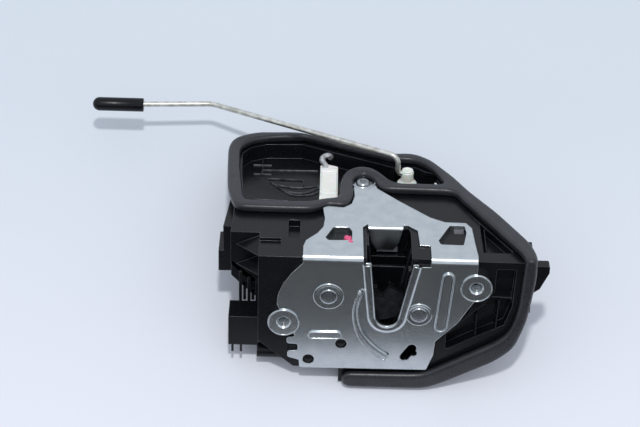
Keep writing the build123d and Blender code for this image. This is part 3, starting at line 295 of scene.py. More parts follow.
# Turned brass worm: bright yellow metal.
TURNED_BRASS = Finish("turned_brass", Base.METAL, "#D9BD79", "#C3A35C", 0.24, 0.05, 4.0, 0.25, 0.003)
# Hobbed nylon gear: chalky white.
GEAR_NYLON = Finish("hobbed_white_nylon", Base.POLYMER, "#DEDED6", "#D2D2C8", 0.38, 0.05, 6.0, 0.5, 0.005)
# Moulded switch case: very dark grey, satin.
SWITCH_CASE = Finish("moulded_polyester_case", Base.POLYMER, "#1A1B20", "#232429", 0.40, 0.05, 5.0, 0.5, 0.006)
# Tinned contact blades: pale and softly bright.
TINNED_BLADE = Finish("tin_plated_brass", Base.METAL, "#CFCFC8", "#BDBDB6", 0.30, 0.06, 3.0, 0.3, 0.003)
# Zinc plated screws: a little duller than the plate.
PLATED_SCREW = Finish("zinc_plated_screw", Base.METAL, "#B2B6B8", "#8F9395", 0.34, 0.08, 2.5, 0.3, 0.006, 0.25,
                      "#DADDDE", 0.6)
# Inspection paint: a thick pink dab with an uneven skin.
PINK_PAINT = Finish("inspection_paint", Base.POLYMER, "#F2688F", "#E24C7B", 0.45, 0.08, 1.2, 0.4, 0.03)

# Each of the record's slots: its finish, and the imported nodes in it.
SLOTS = {
    "zinc_plate": (ZINC_SHEET, ["latch_plate"]),
    "steel": (FORMED_STEEL, ["fork_pivot", "pawl_pivot", "backing_plate", "keeper_strip", "lock_lever_pin",
                             "release_lever_pin", "outer_lever_pin", "gear_pin", "fork_bolt", "pawl",
                             "release_hook", "outer_release_lever"]),
    "spring_steel": (SPRING_WIRE, ["fork_spring", "pawl_spring"]),
    "jacket": (FORK_JACKET, ["fork_coating"]),
    "black_moulding": (BLACK_POLYAMIDE, ["mouth_liner", "carrier_housing", "rear_cover", "connector_shell",
                                         "lock_lever"]),
    "foam": (SEAL_SPONGE, ["weather_seal"]),
    "bumper_rubber": (STOP_RUBBER, ["striker_bumper"]),
    "cream_plastic": (CREAM_ACETAL, ["inner_release_lever"]),
    "clip_nylon": (NATURAL_NYLON, ["rod_clip"]),
    "rod_zinc": (GALVANISED_WIRE, ["lock_rod"]),
    "cap_vinyl": (DIPPED_VINYL, ["rod_cap"]),
    "motor_can": (DRAWN_CAN, ["lock_motor"]),
    "worm_brass": (TURNED_BRASS, ["worm"]),
    "gear_nylon": (GEAR_NYLON, ["worm_gear"]),
    "switch_plastic": (SWITCH_CASE, ["lock_switch", "fork_switch"]),
    "contact_tin": (TINNED_BLADE, ["connector_pins"]),
    "screw_zinc": (PLATED_SCREW, ["tab_screw", "cover_screws"]),
}
# Nodes whose surface was made in another way than the rest of their slot.
OWN_FINISHES = {"fork_bolt": PHOSPHATED_STEEL, "pawl": PHOSPHATED_STEEL, "keeper_strip": GROUND_STEEL}


def finish_frame() -> None:
    """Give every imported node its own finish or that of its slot."""
    for finish, names in SLOTS.values():
        for name in names:
            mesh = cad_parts[name].data
            mesh.materials.clear()
            mesh.materials.append(OWN_FINISHES.get(name, finish).material())
            log.info("finished packed node %s", name)


# ---------- objects and plain meshes

class Side(Enum):
    """Where a piece drawn flat is laid: on the inner leg (X, Y) or on the shut leg (X, Z)."""

    INNER = Matrix.Identity(4)
    SHUT = Matrix(((1, 0, 0, 0), (0, 0, -1, 0), (0, 1, 0, 0), (0, 0, 0, 1)))


def put(name: str, data: ID) -> Object:
    """Put an object in the scene, unturned and at the origin.

    Args:
        name: the object's name.
        data: its mesh, curve, lamp or camera.

    Returns:
        The object.
    """
    made = bpy.data.objects.new(name, data)
    bpy.context.scene.collection.objects.link(made)
    return made


def settle(name: str, mesh: Mesh, side: Side, body: str) -> Object:
    """Lay a mesh on its side of the latch, and make it ride on its body.

    Args:
        name: the piece's name.
        mesh: its mesh, drawn flat in metres.
        side: which leg it lies on.
        body: the body it moves with.

    Returns:
        The finished piece.
    """
    mesh.transform(side.value)
    piece = put(name, mesh)
    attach(piece, body)
    log.info("made %s, %d faces, on %s", name, len(mesh.polygons), body)
    return piece


def plain_mesh(source: Object) -> Mesh:
    """Turn what an object evaluates to into a plain mesh.

    Args:
        source: the object; it is removed with its modifiers.

    Returns:
        The evaluated mesh.
    """
    bpy.context.view_layer.update()
    graph = bpy.context.evaluated_depsgraph_get()
    mesh = bpy.data.meshes.new_from_object(source.evaluated_get(graph), depsgraph=graph)
    source.modifiers.clear()
    bpy.data.objects.remove(source)
    return mesh


def closed_mesh(name: str, made: bmesh.types.BMesh, finish: Finish, smooth: bool = True) -> Mesh:
    """End a bmesh as a mesh of one finish with its normals outward.

    Args:
        name: the mesh's name.
        made: the bmesh; it is freed.
        finish: the mesh's finish.
        smooth: whether its faces are shaded smooth.

    Returns:
        The mesh.
    """
    bmesh.ops.recalc_face_normals(made, faces=made.faces)
    mesh = bpy.data.meshes.new(name)
    made.to_mesh(mesh)
    made.free()
    mesh.materials.append(finish.material())
    if smooth:
        mesh.shade_smooth()
    return mesh


def joined(name: str, meshes: list[Mesh], finish: Finish, smooth: bool = True) -> Mesh:
    """Join meshes to a single one.

    Args:
        name: the mesh's name.
        meshes: the meshes to join; they are removed.
        finish: the finish of them all.
        smooth: whether the faces are shaded smooth.

    Returns:
        The joined mesh.
    """
    whole = bmesh.new()
    for mesh in meshes:
        whole.from_mesh(mesh)
        bpy.data.meshes.remove(mesh)
    return closed_mesh(name, whole, finish, smooth)


# ---------- geometry node trees

class Tool(Enum):
    """The geometry node trees that this file makes."""

    RIDGE = "ridge_along_path"
    COPIES = "copies_at_points"


# The named inputs of each tree, and their kinds.
INPUTS = {
    Tool.RIDGE: {"Path": "Geometry", "Half width": "Float", "Height ratio": "Float", "Finish": "Material"},
    Tool.COPIES: {"Points": "Geometry", "Part": "Object", "Finish": "Material"},
}
PROFILE_POINTS = 14


def tool_tree(tool: Tool) -> NodeTree:
    """Build a tree on first use: a round ridge pressed to its height, or copies of a part at points.

    Args:
        tool: which tree.

    Returns:
        The tree, which ends in real geometry, smooth shading and its finish.
    """
    known = bpy.data.node_groups.get(tool.value)
    if known:
        return known
    tree = bpy.data.node_groups.new(tool.value, "GeometryNodeTree")
    for name, kind in INPUTS[tool].items():
        tree.interface.new_socket(name, in_out="INPUT", socket_type="NodeSocket" + kind)
    tree.interface.new_socket("Result", in_out="OUTPUT", socket_type="NodeSocketGeometry")
    given = add(tree, "NodeGroupInput")
    if tool is Tool.RIDGE:
        ring = add(tree, "GeometryNodeCurvePrimitiveCircle", {"Radius": given.outputs["Half width"]},
                   {"Resolution": PROFILE_POINTS}, mode="RADIUS")
        swept = add(tree, "GeometryNodeCurveToMesh",
                    {"Curve": given.outputs["Path"], "Profile Curve": ring.outputs["Curve"]},
                    {"Fill Caps": True})
        flat = add(tree, "ShaderNodeCombineXYZ", {"Z": given.outputs["Height ratio"]}, {"X": 1.0, "Y": 1.0})
        shape = add(tree, "GeometryNodeTransform",
                    {"Geometry": swept.outputs["Mesh"], "Scale": flat.outputs[0]})
    else:
        part = add(tree, "GeometryNodeObjectInfo", {"Object": given.outputs["Part"]})
        shape = add(tree, "GeometryNodeInstanceOnPoints",
                    {"Points": given.outputs["Points"], "Instance": part.outputs["Geometry"]})
    real = add(tree, "GeometryNodeRealizeInstances", {0: shape.outputs[0]})
    smooth = add(tree, "GeometryNodeSetShadeSmooth", {0: real.outputs[0]})
    dressed = add(tree, "GeometryNodeSetMaterial",
                  {"Geometry": smooth.outputs[0], "Material": given.outputs["Finish"]})
    add(tree, "NodeGroupOutput", {0: dressed.outputs[0]})
    return tree


def apply_tree(source: Object, tool: Tool, inputs: dict[str, object]) -> Mesh:
    """Run a tree on a source object.

    Args:
        source: the object that carries the path or points; it is removed.
        tool: which tree.
        inputs: input name to value.

    Returns:
        The plain mesh that the tree makes.
    """
    tree = tool_tree(tool)
    modifier = source.modifiers.new(tree.name, "NODES")
    modifier.node_group = tree
    for item in tree.interface.items_tree:
        if item.in_out == "INPUT" and item.name in inputs:
            modifier[item.identifier] = inputs[item.name]
    return plain_mesh(source)


# ---------- lines drawn flat

def arc(centre: Point2, radius: float, start: float, end: float, steps: int = 24) -> list[Point2]:
    """Points on an arc.

    Args:
        centre: middle of the arc, in millimetres.
        radius: its radius.
        start: first angle in degrees.
        end: last angle in degrees.
        steps: how many runs it has.

    Returns:
        The arc's points.
    """
    turns = [math.radians(start + (end - start) * i / steps) for i in range(steps + 1)]
    return [(centre[0] + radius * math.cos(t), centre[1] + radius * math.sin(t)) for t in turns]


def stadium(start: Point2, end: Point2, width: float, steps: int = 9) -> list[Point2]:
    """Closed outline with half round ends.

    Args:
        start: centre of one end, in millimetres.
        end: centre of the other end.
        width: how wide the outline is.
        steps: runs in each end.

    Returns:
        The outline's points.
    """
    run = math.degrees(math.atan2(end[1] - start[1], end[0] - start[0]))
    return [*arc(end, width / 2, run - 90, run + 90, steps),
            *arc(start, width / 2, run + 90, run + 270, steps)]


def smooth_run(corners: Line, steps: int = 8) -> list[Point2]:
    """A smooth line through a few points.

    Args:
        corners: the points, in millimetres.
        steps: runs between two of them.

    Returns:
        The line's points.
    """
    ends = [Vector(corners[0]) * 2 - Vector(corners[1]), *map(Vector, corners),
            Vector(corners[-1]) * 2 - Vector(corners[-2])]
    line = []
    for a, b, c, d in zip(ends, ends[1:], ends[2:], ends[3:]):
        for i in range(steps):
            t = i / steps
            line.append(tuple(0.5 * (2 * b + (c - a) * t + (2 * a - 5 * b + 4 * c - d) * t * t
                                     + (3 * b - a - 3 * c + d) * t ** 3)))
    return [*line, tuple(corners[-1])]


def rounded(corners: Line, reach: float, steps: int = 6) -> list[Point2]:
    """A closed outline with each corner drawn as a smooth curve.

    Args:
        corners: the outline's corners, in millimetres.
        reach: how far from a corner its curve starts, at most nearly half a side.
        steps: runs in each curve.

    Returns:
        The smoother outline.
    """
    most = 0.48
    line = []
    for i, corner in enumerate(corners):
        here, back, ahead = Vector(corner), Vector(corners[i - 1]), Vector(corners[(i + 1) % len(corners)])
        first = here + (back - here).normalized() * min(reach, most * (back - here).length)
        last = here + (ahead - here).normalized() * min(reach, most * (ahead - here).length)
        for step in range(steps + 1):
            t = step / steps
            line.append(tuple((1 - t) ** 2 * first + 2 * t * (1 - t) * here + t * t * last))
    return line


# ---------- ridges, turned parts and panels

@dataclass(frozen=True)
class Ridge:
    """One rounded ridge drawn flat: its path, width, height and the level it stands on, in millimetres."""

    path: Line
    width: float
    height: float
    level: float = 0.0
    closed: bool = False

    def mesh(self, finish: Finish) -> Mesh:
        """Run the ridge tree along the path.

        Args:
            finish: the ridge's finish.

        Returns:
            The ridge's mesh.
        """
        curve = bpy.data.curves.new("ridge_path", "CURVE")
        curve.dimensions = "3D"
        spline = curve.splines.new("POLY")
        points = [Vector(p) for p in self.path] if self.closed else self._with_round_ends()
        lift = self.height / (self.width / 2)
        spline.points.add(len(points) - 1)
        for mark, here in zip(spline.points, points):
            mark.co = (here.x * MM, here.y * MM, self.level * MM / lift, 1.0)
            mark.radius = 1.0 if self.closed else self._share(here, points)
        spline.use_cyclic_u = self.closed
        return apply_tree(put("ridge_path", curve), Tool.RIDGE, {
            "Half width": self.width / 2 * MM, "Height ratio": lift, "Finish": finish.material()})

    def _with_round_ends(self) -> list[Vector]:
        """Add points close to both ends, where the ridge narrows to nothing.

        Returns:
            The path's points and the added ones.
        """
        shares = (0.0, 0.06, 0.22, 0.5, 0.9)
        reach = self.width / 2
        points = [Vector(p) for p in self.path]
        head, tail = points[0], points[-1]
        ahead, back = (points[1] - head).normalized(), (points[-2] - tail).normalized()
        middle = [p for p in points[1:-1] if min((p - head).length, (p - tail).length) > reach]
        return [*(head + ahead * reach * share for share in shares), *middle,
                *(tail + back * reach * share for share in reversed(shares))]

    def _share(self, here: Vector, points: list[Vector]) -> float:
        """Share of the half width at a point: a half circle at both ends.

        Args:
            here: the point.
            points: the whole path.

        Returns:
            The share, never quite nothing.
        """
        least = 0.02
        away = min((here - points[0]).length, (here - points[-1]).length) / (self.width / 2)
        return max(least, math.sqrt(max(0.0, 1 - (1 - min(away, 1.0)) ** 2)))


def ridges(name: str, runs: Sequence[Ridge], finish: Finish, side: Side, body: str) -> Object:
    """Make ridges of one finish a single piece.

    Args:
        name: the piece's name.
        runs: its ridges.
        finish: their finish.
        side: which leg they lie on.
        body: the body they move with.

    Returns:
        The finished piece.
    """
    return settle(name, joined(name, [run.mesh(finish) for run in runs], finish), side, body)


def turned(name: str, profile: Line, finish: Finish, steps: int = 40) -> Mesh:
    """A closed turned part about its own Z axis.

    Args:
        name: the mesh's name.
        profile: radius and height pairs in millimetres, from the axis at the bottom to the axis at the
            top, or back to the first pair for a ring.
        finish: its finish.
        steps: faces round it.

    Returns:
        The mesh, in metres, standing on Z = 0 of its own drawing.
    """
    made = bmesh.new()
    turns = [2 * math.pi * i / steps for i in range(steps)]
    is_ring = profile[0] == profile[-1]
    loops = []
    for radius, height in profile[:-1] if is_ring else profile:
        if radius == 0:
            loops.append([made.verts.new((0, 0, height * MM))] * steps)
        else:
            loops.append([made.verts.new((radius * MM * math.cos(t), radius * MM * math.sin(t), height * MM))
                          for t in turns])
    if is_ring:
        loops.append(loops[0])
    for low, high in zip(loops, loops[1:]):
        for i in range(steps):
            corners = list(dict.fromkeys([low[i], low[(i + 1) % steps], high[(i + 1) % steps], high[i]]))
            if len(corners) > 2:
                made.faces.new(corners)
    return closed_mesh(name, made, finish)


def turned_copies(name: str, profile: Line, points: Line, finish: Finish, steps: int = 40,
                  levels: Sequence[float] = (0.0,)) -> Mesh:
    """Copies of one turned part at points drawn flat, at every level of each point.

    Args:
        name: the mesh's name.
        profile: the part's profile, in millimetres.
        points: where the copies stand.
        finish: their finish.
        steps: faces round each.
        levels: the heights that they stand at.

    Returns:
        The mesh of all copies.
    """
    marks = bpy.data.meshes.new(name + "_marks")
    marks.from_pydata([(x * MM, y * MM, z * MM) for x, y in points for z in levels], [], [])
    source, sample = put(name + "_marks", marks), put(name + "_sample", turned(name, profile, finish, steps))
    mesh = apply_tree(source, Tool.COPIES, {"Part": sample, "Finish": finish.material()})
    bpy.data.objects.remove(sample)
    return joined(name, [mesh], finish)


def panel(corners: Line, low: float, high: float, finish: Finish) -> Mesh:
    """A flat panel between two heights, its edges eased.

    Args:
        corners: its outline drawn flat, in millimetres.
        low: where it starts.
        high: where it ends.
        finish: its finish.

    Returns:
        The closed mesh, in metres.
    """
    ease = 0.3
    made = bmesh.new()
    under, over = ([made.verts.new((x * MM, y * MM, z * MM)) for x, y in corners] for z in (low, high))
    made.faces.new(under)
    made.faces.new(over)
    for i, corner in enumerate(under):
        made.faces.new((under[i - 1], corner, over[i], over[i - 1]))
    bmesh.ops.bevel(made, geom=made.edges[:], offset=ease * MM, segments=2, affect="EDGES", profile=0.5)
    return closed_mesh("panel", made, finish, smooth=False)


# ---------- the folded plate

@dataclass
class FoldedPlate:
    """Pressed and fitted details of the folded latch plate."""

    # Middles of the pivots and holes on the shut leg.
    fork_pivot: Point2 = (14.2, -31.0)
    pawl_pivot: Point2 = (-27.6, -22.0)
    screw_holes: Line = ((-48.0, -37.2), (39.6, -15.2))
    peg_holes: Line = ((-36.2, -58.2), (-21.2, -48.8))
    # Lip round the mouth, and the raised beads.
    bead_height: float = 1.2
    lip_width: float = 4.3
    lip_centre: Point2 = (-0.5, -32.4)
    lip_root: float = 7.3
    lip_ends: Pair = (-10.65, 12.25)
    lip_top: float = -4.2
    crescent_turn: Pair = (156.0, 240.0)
    crescent_outer: float = 30.3
    crescent_inner: float = 26.9
    crescent_narrowing: float = 2.6
    crescent_ease: float = 1.4
    crescent_edge: float = 1.2
    right_bead: tuple[Point2, Point2, float] = ((26.5, -10.2), (24.5, -37.2), 5.2)
    right_edge: float = 1.3
    low_bead: tuple[Point2, Point2, float] = ((-34.6, -43.9), (-23.0, -43.6), 3.6)
    low_edge: float = 1.1
    screw_pad: float = 7.0
    screw_pad_edge: float = 1.0
    screw_pad_steps: int = 48
    # Pads and heads of the pivots, heads of the pegs and threads, as radius and height pairs; the radii of
    # the pads' rim count from each pad's own radius.
    fork_pad: float = 6.2
    pawl_pad: float = 7.1
    pad_rim: Line = ((0.0, -0.3), (0.0, 0.15), (-0.15, 0.45), (-0.5, 0.6), (-1.0, 0.5), (-1.6, 0.42))
    pad_middle: Line = ((4.4, 0.4), (0.0, 0.4))
    pad_steps: int = 56
    rivet_dome: Line = ((0.0, -0.4), (4.0, -0.4), (4.0, 0.6), (3.9, 0.85), (3.6, 1.02), (3.1, 1.08),
                        (2.2, 1.12), (1.2, 1.15), (0.0, 1.17))
    peg_dome: Line = ((0.0, -1.4), (2.4, -1.4), (2.4, -0.75), (2.2, -0.45), (1.7, -0.22), (1.0, -0.08),
                      (0.0, -0.04))
    peg_steps: int = 28
    thread_crest: Line = ((2.55, -0.35), (2.22, 0.0), (2.55, 0.35), (2.55, -0.35))
    thread_levels: Sequence[float] = (-0.6, -1.6, -2.6, -3.6, -4.6, -5.6)
    # On the inner leg: the edge of the dish in the tab's end, and the dab of paint by the left window.
    dish_edge: Ridge = Ridge(tuple(arc((-12.4, 64.8), 5.9, -170, -10)), 1.0, 0.5, -0.3)
    paint: Sequence[Ridge] = (
        Ridge(((-20.2, 17.4), (-19.4, 15.6), (-18.3, 13.6)), 2.7, 1.45, -1.3),
        Ridge(((-20.8, 15.2), (-18.2, 17.0)), 1.8, 1.4, -1.3),
        Ridge(((-19.0, 12.9), (-17.3, 12.3)), 1.7, 0.16))

    def build(self) -> None:
        """Make every pressed and fitted detail of the plate."""
        self.mouth_lip()
        self.beads()
        self.rivets()
        self.threads()
        ridges("paint_dab", self.paint, PINK_PAINT, Side.INNER, "latch")
        ridges("tab_ring", [self.dish_edge], ZINC_SHEET, Side.INNER, "latch")
        pegs = turned_copies("peg_domes", self.peg_dome, self.peg_holes, BLACK_POLYAMIDE, self.peg_steps)
        settle("peg_domes", pegs, Side.SHUT, "latch")

    def mouth_lip(self) -> None:
        """Rolled lip round the striker mouth: two straight sides and a round root."""
        left, right = self.lip_ends
        path = [(left, self.lip_top), *arc(self.lip_centre, self.lip_root, 180, 360), (right, self.lip_top)]
        lip = Ridge(path, self.lip_width, self.bead_height)
        ridges("mouth_lip", [lip], ZINC_SHEET, Side.SHUT, "latch")

    def beads(self) -> None:
        """Stiffening beads, each a raised outline, and the raised edges of the screw pads."""
        outlines = ((self.crescent(), self.crescent_edge), (stadium(*self.right_bead), self.right_edge),
                    (stadium(*self.low_bead), self.low_edge))
        runs = [Ridge(line, width, self.bead_height, closed=True) for line, width in outlines]
        edge = self.screw_pad_edge
        runs += [Ridge(arc(hole, self.screw_pad, 0, 360, self.screw_pad_steps)[:-1], edge, edge, closed=True)
                 for hole in self.screw_holes]
        ridges("pressed_beads", runs, ZINC_SHEET, Side.SHUT, "latch")

    def crescent(self, steps: int = 24) -> list[Point2]:
        """Outline of the curved bead round the fork's pivot, narrower at its upper end.

        Args:
            steps: runs along each of its sides.

        Returns:
            The outline's points.
        """
        x, z = self.fork_pivot
        upper, lower = self.crescent_turn
        points = arc(self.fork_pivot, self.crescent_outer, upper, lower, steps)
        for step in range(steps + 1):
            share = step / steps
            turn = math.radians(lower - (lower - upper) * share)
            radius = self.crescent_inner + self.crescent_narrowing * share ** self.crescent_ease
            points.append((x + radius * math.cos(turn), z + radius * math.sin(turn)))
        return points

    def rivets(self) -> None:
        """Pads pressed up round the two riveted pivots, and the domed heads in them."""
        pads = []
        for pivot, reach in ((self.fork_pivot, self.fork_pad), (self.pawl_pivot, self.pawl_pad)):
            rim = [(reach + inset, height) for inset, height in self.pad_rim]
            profile = [(0.0, rim[0][1]), *rim, *self.pad_middle]
            pads.append(turned_copies("pivot_pad", profile, [pivot], ZINC_SHEET, self.pad_steps))
        settle("pivot_pads", joined("pivot_pads", pads, ZINC_SHEET), Side.SHUT, "latch")
        heads = turned_copies("rivet_heads", self.rivet_dome, [self.fork_pivot, self.pawl_pivot], FORMED_STEEL)
        settle("rivet_heads", heads, Side.SHUT, "latch")

    def threads(self) -> None:
        """Thread crests inside both screw holes."""
        crests = turned_copies("screw_threads", self.thread_crest, self.screw_holes, ZINC_SHEET,
                               levels=self.thread_levels)
        settle("screw_threads", crests, Side.SHUT, "latch")


# ---------- the moulded carrier

@dataclass
class MouldedCarrier:
    """Ribs, steps and the left bracket's web, all moulded into the black carrier."""

    # Ribs on the floor of the roof window.
    window_floor: float = -10.5
    rib_width: float = 0.65
    straight_height: float = 0.8
    curved_height: float = 0.7
    straight_ribs: Sequence[Line] = (
        ((-61.7, 88.4), (-34.2, 89.0)), ((-58.5, 80.7), (-40.9, 80.2), (-40.9, 75.6)),
        ((-64.0, 61.7), (-48.2, 60.8)), ((-66.0, 93.0), (-57.0, 93.0)), ((-61.5, 97.2), (-61.5, 84.0)),
        ((-65.5, 84.6), (-57.0, 84.6)))
    curved_ribs: Sequence[Line] = (
        ((-57.0, 77.6), (-50.0, 70.4), (-41.0, 68.6), (-33.0, 74.2)),
        ((-54.6, 74.6), (-47.0, 67.2), (-39.0, 66.8), (-31.8, 70.6)),
        ((-56.2, 76.0), (-44.0, 73.2), (-31.6, 75.8)))
    # Step beside the inner leg's diagonal, ribs in the right recess, and the rest in the right window.
    step: Ridge = Ridge(((33.6, 50.4), (44.0, 32.0), (44.0, 12.0)), 1.6, 3.2, -6.4)
    recess: Sequence[Ridge] = (
        Ridge(((50.6, -24.0), (50.0, -40.0)), 1.5, 6.4, -8.0),
        Ridge(((44.4, -22.0), (56.4, -22.6)), 1.2, 5.0, -8.0),
        Ridge(((41.0, -33.0), (41.0, -46.0)), 1.2, 5.0, -8.0))
    rest: Sequence[Ridge] = tuple(Ridge(((29.6, y), (34.2, y)), 1.3, 0.7, -2.7) for y in (25.2, 26.6, 28.0))
    # Web of the left bracket, and where its slim ribs start and how far up they reach.
    bracket_back: float = -23.4
    bracket_front: float = -21.8
    bracket_web: Line = ((-73.4, -18.0), (-73.4, -26.8), (-62.4, -38.4), (-60.0, -38.4), (-60.0, -30.0))
    bracket_ribs: Line = ((-67.7, -30.0), (-63.8, -34.0))
    bracket_rib_width: float = 1.4
    bracket_rib_foot: float = -41.0

    def build(self) -> None:
        """Make the ribs, steps and left bracket of the carrier."""
        self.window_ribs()
        ridges("side_step", [self.step], BLACK_POLYAMIDE, Side.INNER, "latch")
        ridges("recess_ribs", self.recess, BLACK_POLYAMIDE, Side.SHUT, "latch")
        ridges("window_rest", self.rest, GREY_HIGHLIGHT_POLYAMIDE, Side.INNER, "latch")
        self.left_bracket()

    def window_ribs(self) -> None:
        """Thin ribs on the floor of the roof window, low enough for the release lever to swing over."""
        lines = [(line, self.straight_height) for line in self.straight_ribs]
        lines += [(smooth_run(line), self.curved_height) for line in self.curved_ribs]
        runs = [Ridge(line, self.rib_width, height, self.window_floor) for line, height in lines]
        ridges("window_ribs", runs, GREY_HIGHLIGHT_POLYAMIDE, Side.INNER, "latch")

    def left_bracket(self) -> None:
        """Lower web of the left bracket, and the slim ribs between its pillars."""
        foot = self.bracket_rib_foot
        outlines = [self.bracket_web]
        for x, top in self.bracket_ribs:
            far = x + self.bracket_rib_width
            outlines.append(((x, foot), (far, foot), (far, top), (x, top)))
        panels = [panel(outline, self.bracket_back, self.bracket_front, BLACK_POLYAMIDE)
                  for outline in outlines]
        settle("bracket_web", joined("bracket_web", panels, BLACK_POLYAMIDE, smooth=False), Side.SHUT, "latch")


# ---------- the weather seal

@dataclass
class WeatherSeal:
    """Sponge rubber seal: a ring on the inner leg and a tail along the shut leg, with rounded edges."""

    # Where its foot lies and how thick it is, its rounding, and how the two parts are grown together.
    low: float = -2.5
    height: float = 4.0
    ring_edge: float = 1.3
    tail_edge: float = 1.8
    corner: float = 5.0
    voxel: float = 0.7
    smoothing: int = 4
    smoothing_share: float = 0.5
    edge_steps: int = 3
    rim: Line = (
        (-71.8, 38.2), (-74.4, 44.4), (-76.8, 56.0), (-77.8, 73.6), (-78.4, 92.2), (-76.0, 100.6),
        (-65.6, 106.4), (-43.0, 107.6), (-14.0, 95.4), (1.4, 89.0), (11.8, 90.6), (20.6, 84.8), (31.6, 68.8),
        (37.6, 57.6), (50.2, 38.8), (63.6, 14.8), (66.4, 5.0), (66.4, -1.5), (60.8, -1.5),
        (60.2, 4.8), (33.4, 51.6), (31.0, 56.6), (-2.4, 57.2), (-5.0, 60.0), (-7.2, 66.8),
        (-12.4, 71.2), (-17.5, 65.4), (-16.9, 52.4), (-18.2, 45.2), (-21.6, 41.9), (-29.0, 43.0),
        (-31.4, 41.2), (-36.6, 38.0), (-53.0, 37.8))
    window: Line = (
        (-68.8, 45.8), (-66.4, 44.2), (-52.8, 43.9), (-37.4, 44.4), (-30.4, 47.4), (-23.4, 48.6),
        (-22.8, 66.4), (-20.0, 73.2), (-14.6, 76.8), (-8.4, 76.0), (-4.2, 71.8), (2.0, 62.4),
        (27.4, 62.4), (20.8, 78.0), (13.4, 84.6), (4.0, 84.6), (-2.0, 86.9), (-41.0, 103.9), (-60.0, 101.4),
        (-68.4, 97.8), (-72.4, 91.8), (-71.8, 73.8))
    tail: Line = (
        (60.8, 1.5), (66.4, 1.5), (66.6, -10.4), (63.8, -34.2), (59.2, -48.8), (50.8, -56.6), (25.0, -71.0),
        (18.0, -73.6), (-20.4, -73.6), (-20.4, -65.4), (16.0, -65.0), (20.8, -63.0), (38.0, -52.8),
        (50.8, -45.2), (56.4, -39.4), (59.4, -27.2))

    def build(self) -> None:
        """Make the ring and the tail, grow them together, and let them stand for the node."""
        ring = self.slab([rounded(self.rim, self.corner), rounded(self.window, self.corner)], self.ring_edge)
        tail = self.slab([rounded(self.tail, self.corner)], self.tail_edge)
        tail.transform(Side.SHUT.value)
        source = put("sponge_seal_source", joined("sponge_seal_source", [ring, tail], SEAL_SPONGE))
        grid = source.modifiers.new("grid", "REMESH")
        grid.mode = "VOXEL"
        grid.voxel_size = self.voxel * MM
        evened = source.modifiers.new("evened", "SMOOTH")
        evened.factor, evened.iterations = self.smoothing_share, self.smoothing
        piece = settle("sponge_seal", joined("sponge_seal", [plain_mesh(source)], SEAL_SPONGE), Side.INNER,
                       "latch")
        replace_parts(piece, "weather_seal")

    def slab(self, loops: list[list[Point2]], edge: float) -> Mesh:
        """A flat slab between outlines, its edges rounded, lying on the carrier's face.

        Args:
            loops: the outer outline, then any windows, in millimetres.
            edge: how far its edges are rounded.

        Returns:
            The slab's mesh, drawn flat.
        """
        curve = bpy.data.curves.new("seal_outline", "CURVE")
        curve.dimensions, curve.fill_mode = "2D", "BOTH"
        curve.bevel_depth, curve.bevel_resolution = edge * MM, self.edge_steps
        curve.offset = -edge * MM
        curve.extrude = (self.height / 2 - edge) * MM
        for loop in loops:
            spline = curve.splines.new("POLY")
            spline.points.add(len(loop) - 1)
            for point, (x, y) in zip(spline.points, loop):
                point.co = (x * MM, y * MM, 0, 1)
            spline.use_cyclic_u = True
        mesh = plain_mesh(put("seal_outline", curve))
        mesh.transform(Matrix.Translation((0, 0, (self.low + self.height / 2) * MM)))
        return mesh


# ---------- the lever and the rod

@dataclass
class ReleaseLever:
    """Raised edge and shoulders of the cream release lever, and the hook at its tip."""

    top: float = -5.6
    corners: Line = ((-32.2, 60.2), (-32.2, 84.6), (-25.2, 84.2), (-25.2, 60.2))
    edge_width: float = 0.9
    edge_height: float = 0.35
    shoulder_ends: Pair = (-32.6, -24.6)
    shoulder_height: float = 0.8
    # Y and width of each shoulder.
    shoulders: Line = ((82.4, 3.4), (62.0, 2.6))
    hook: Line = ((-30.4, 84.8), (-31.4, 87.6), (-32.2, 90.2), (-31.7, 92.8), (-30.1, 94.5), (-28.7, 94.5),
                  (-28.1, 93.0))
    hook_width: float = 2.9
    hook_height: float = 1.45
    hook_middle: float = -4.5

    def build(self) -> None:
        """Make the lever's raised edge, its two shoulders and its hook."""
        left, right = self.shoulder_ends
        runs = [Ridge(self.corners, self.edge_width, self.edge_height, self.top)]
        runs += [Ridge(((left, y), (right, y)), width, self.shoulder_height, self.top)
                 for y, width in self.shoulders]
        ridges("lever_edge", runs, CREAM_ACETAL, Side.INNER, "inner_release")
        curl = Ridge(smooth_run(self.hook), self.hook_width, self.hook_height, self.hook_middle)
        hook = ridges("curled_hook", [curl], TUMBLED_STEEL, Side.INNER, "inner_release")
        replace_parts(hook, "release_hook")


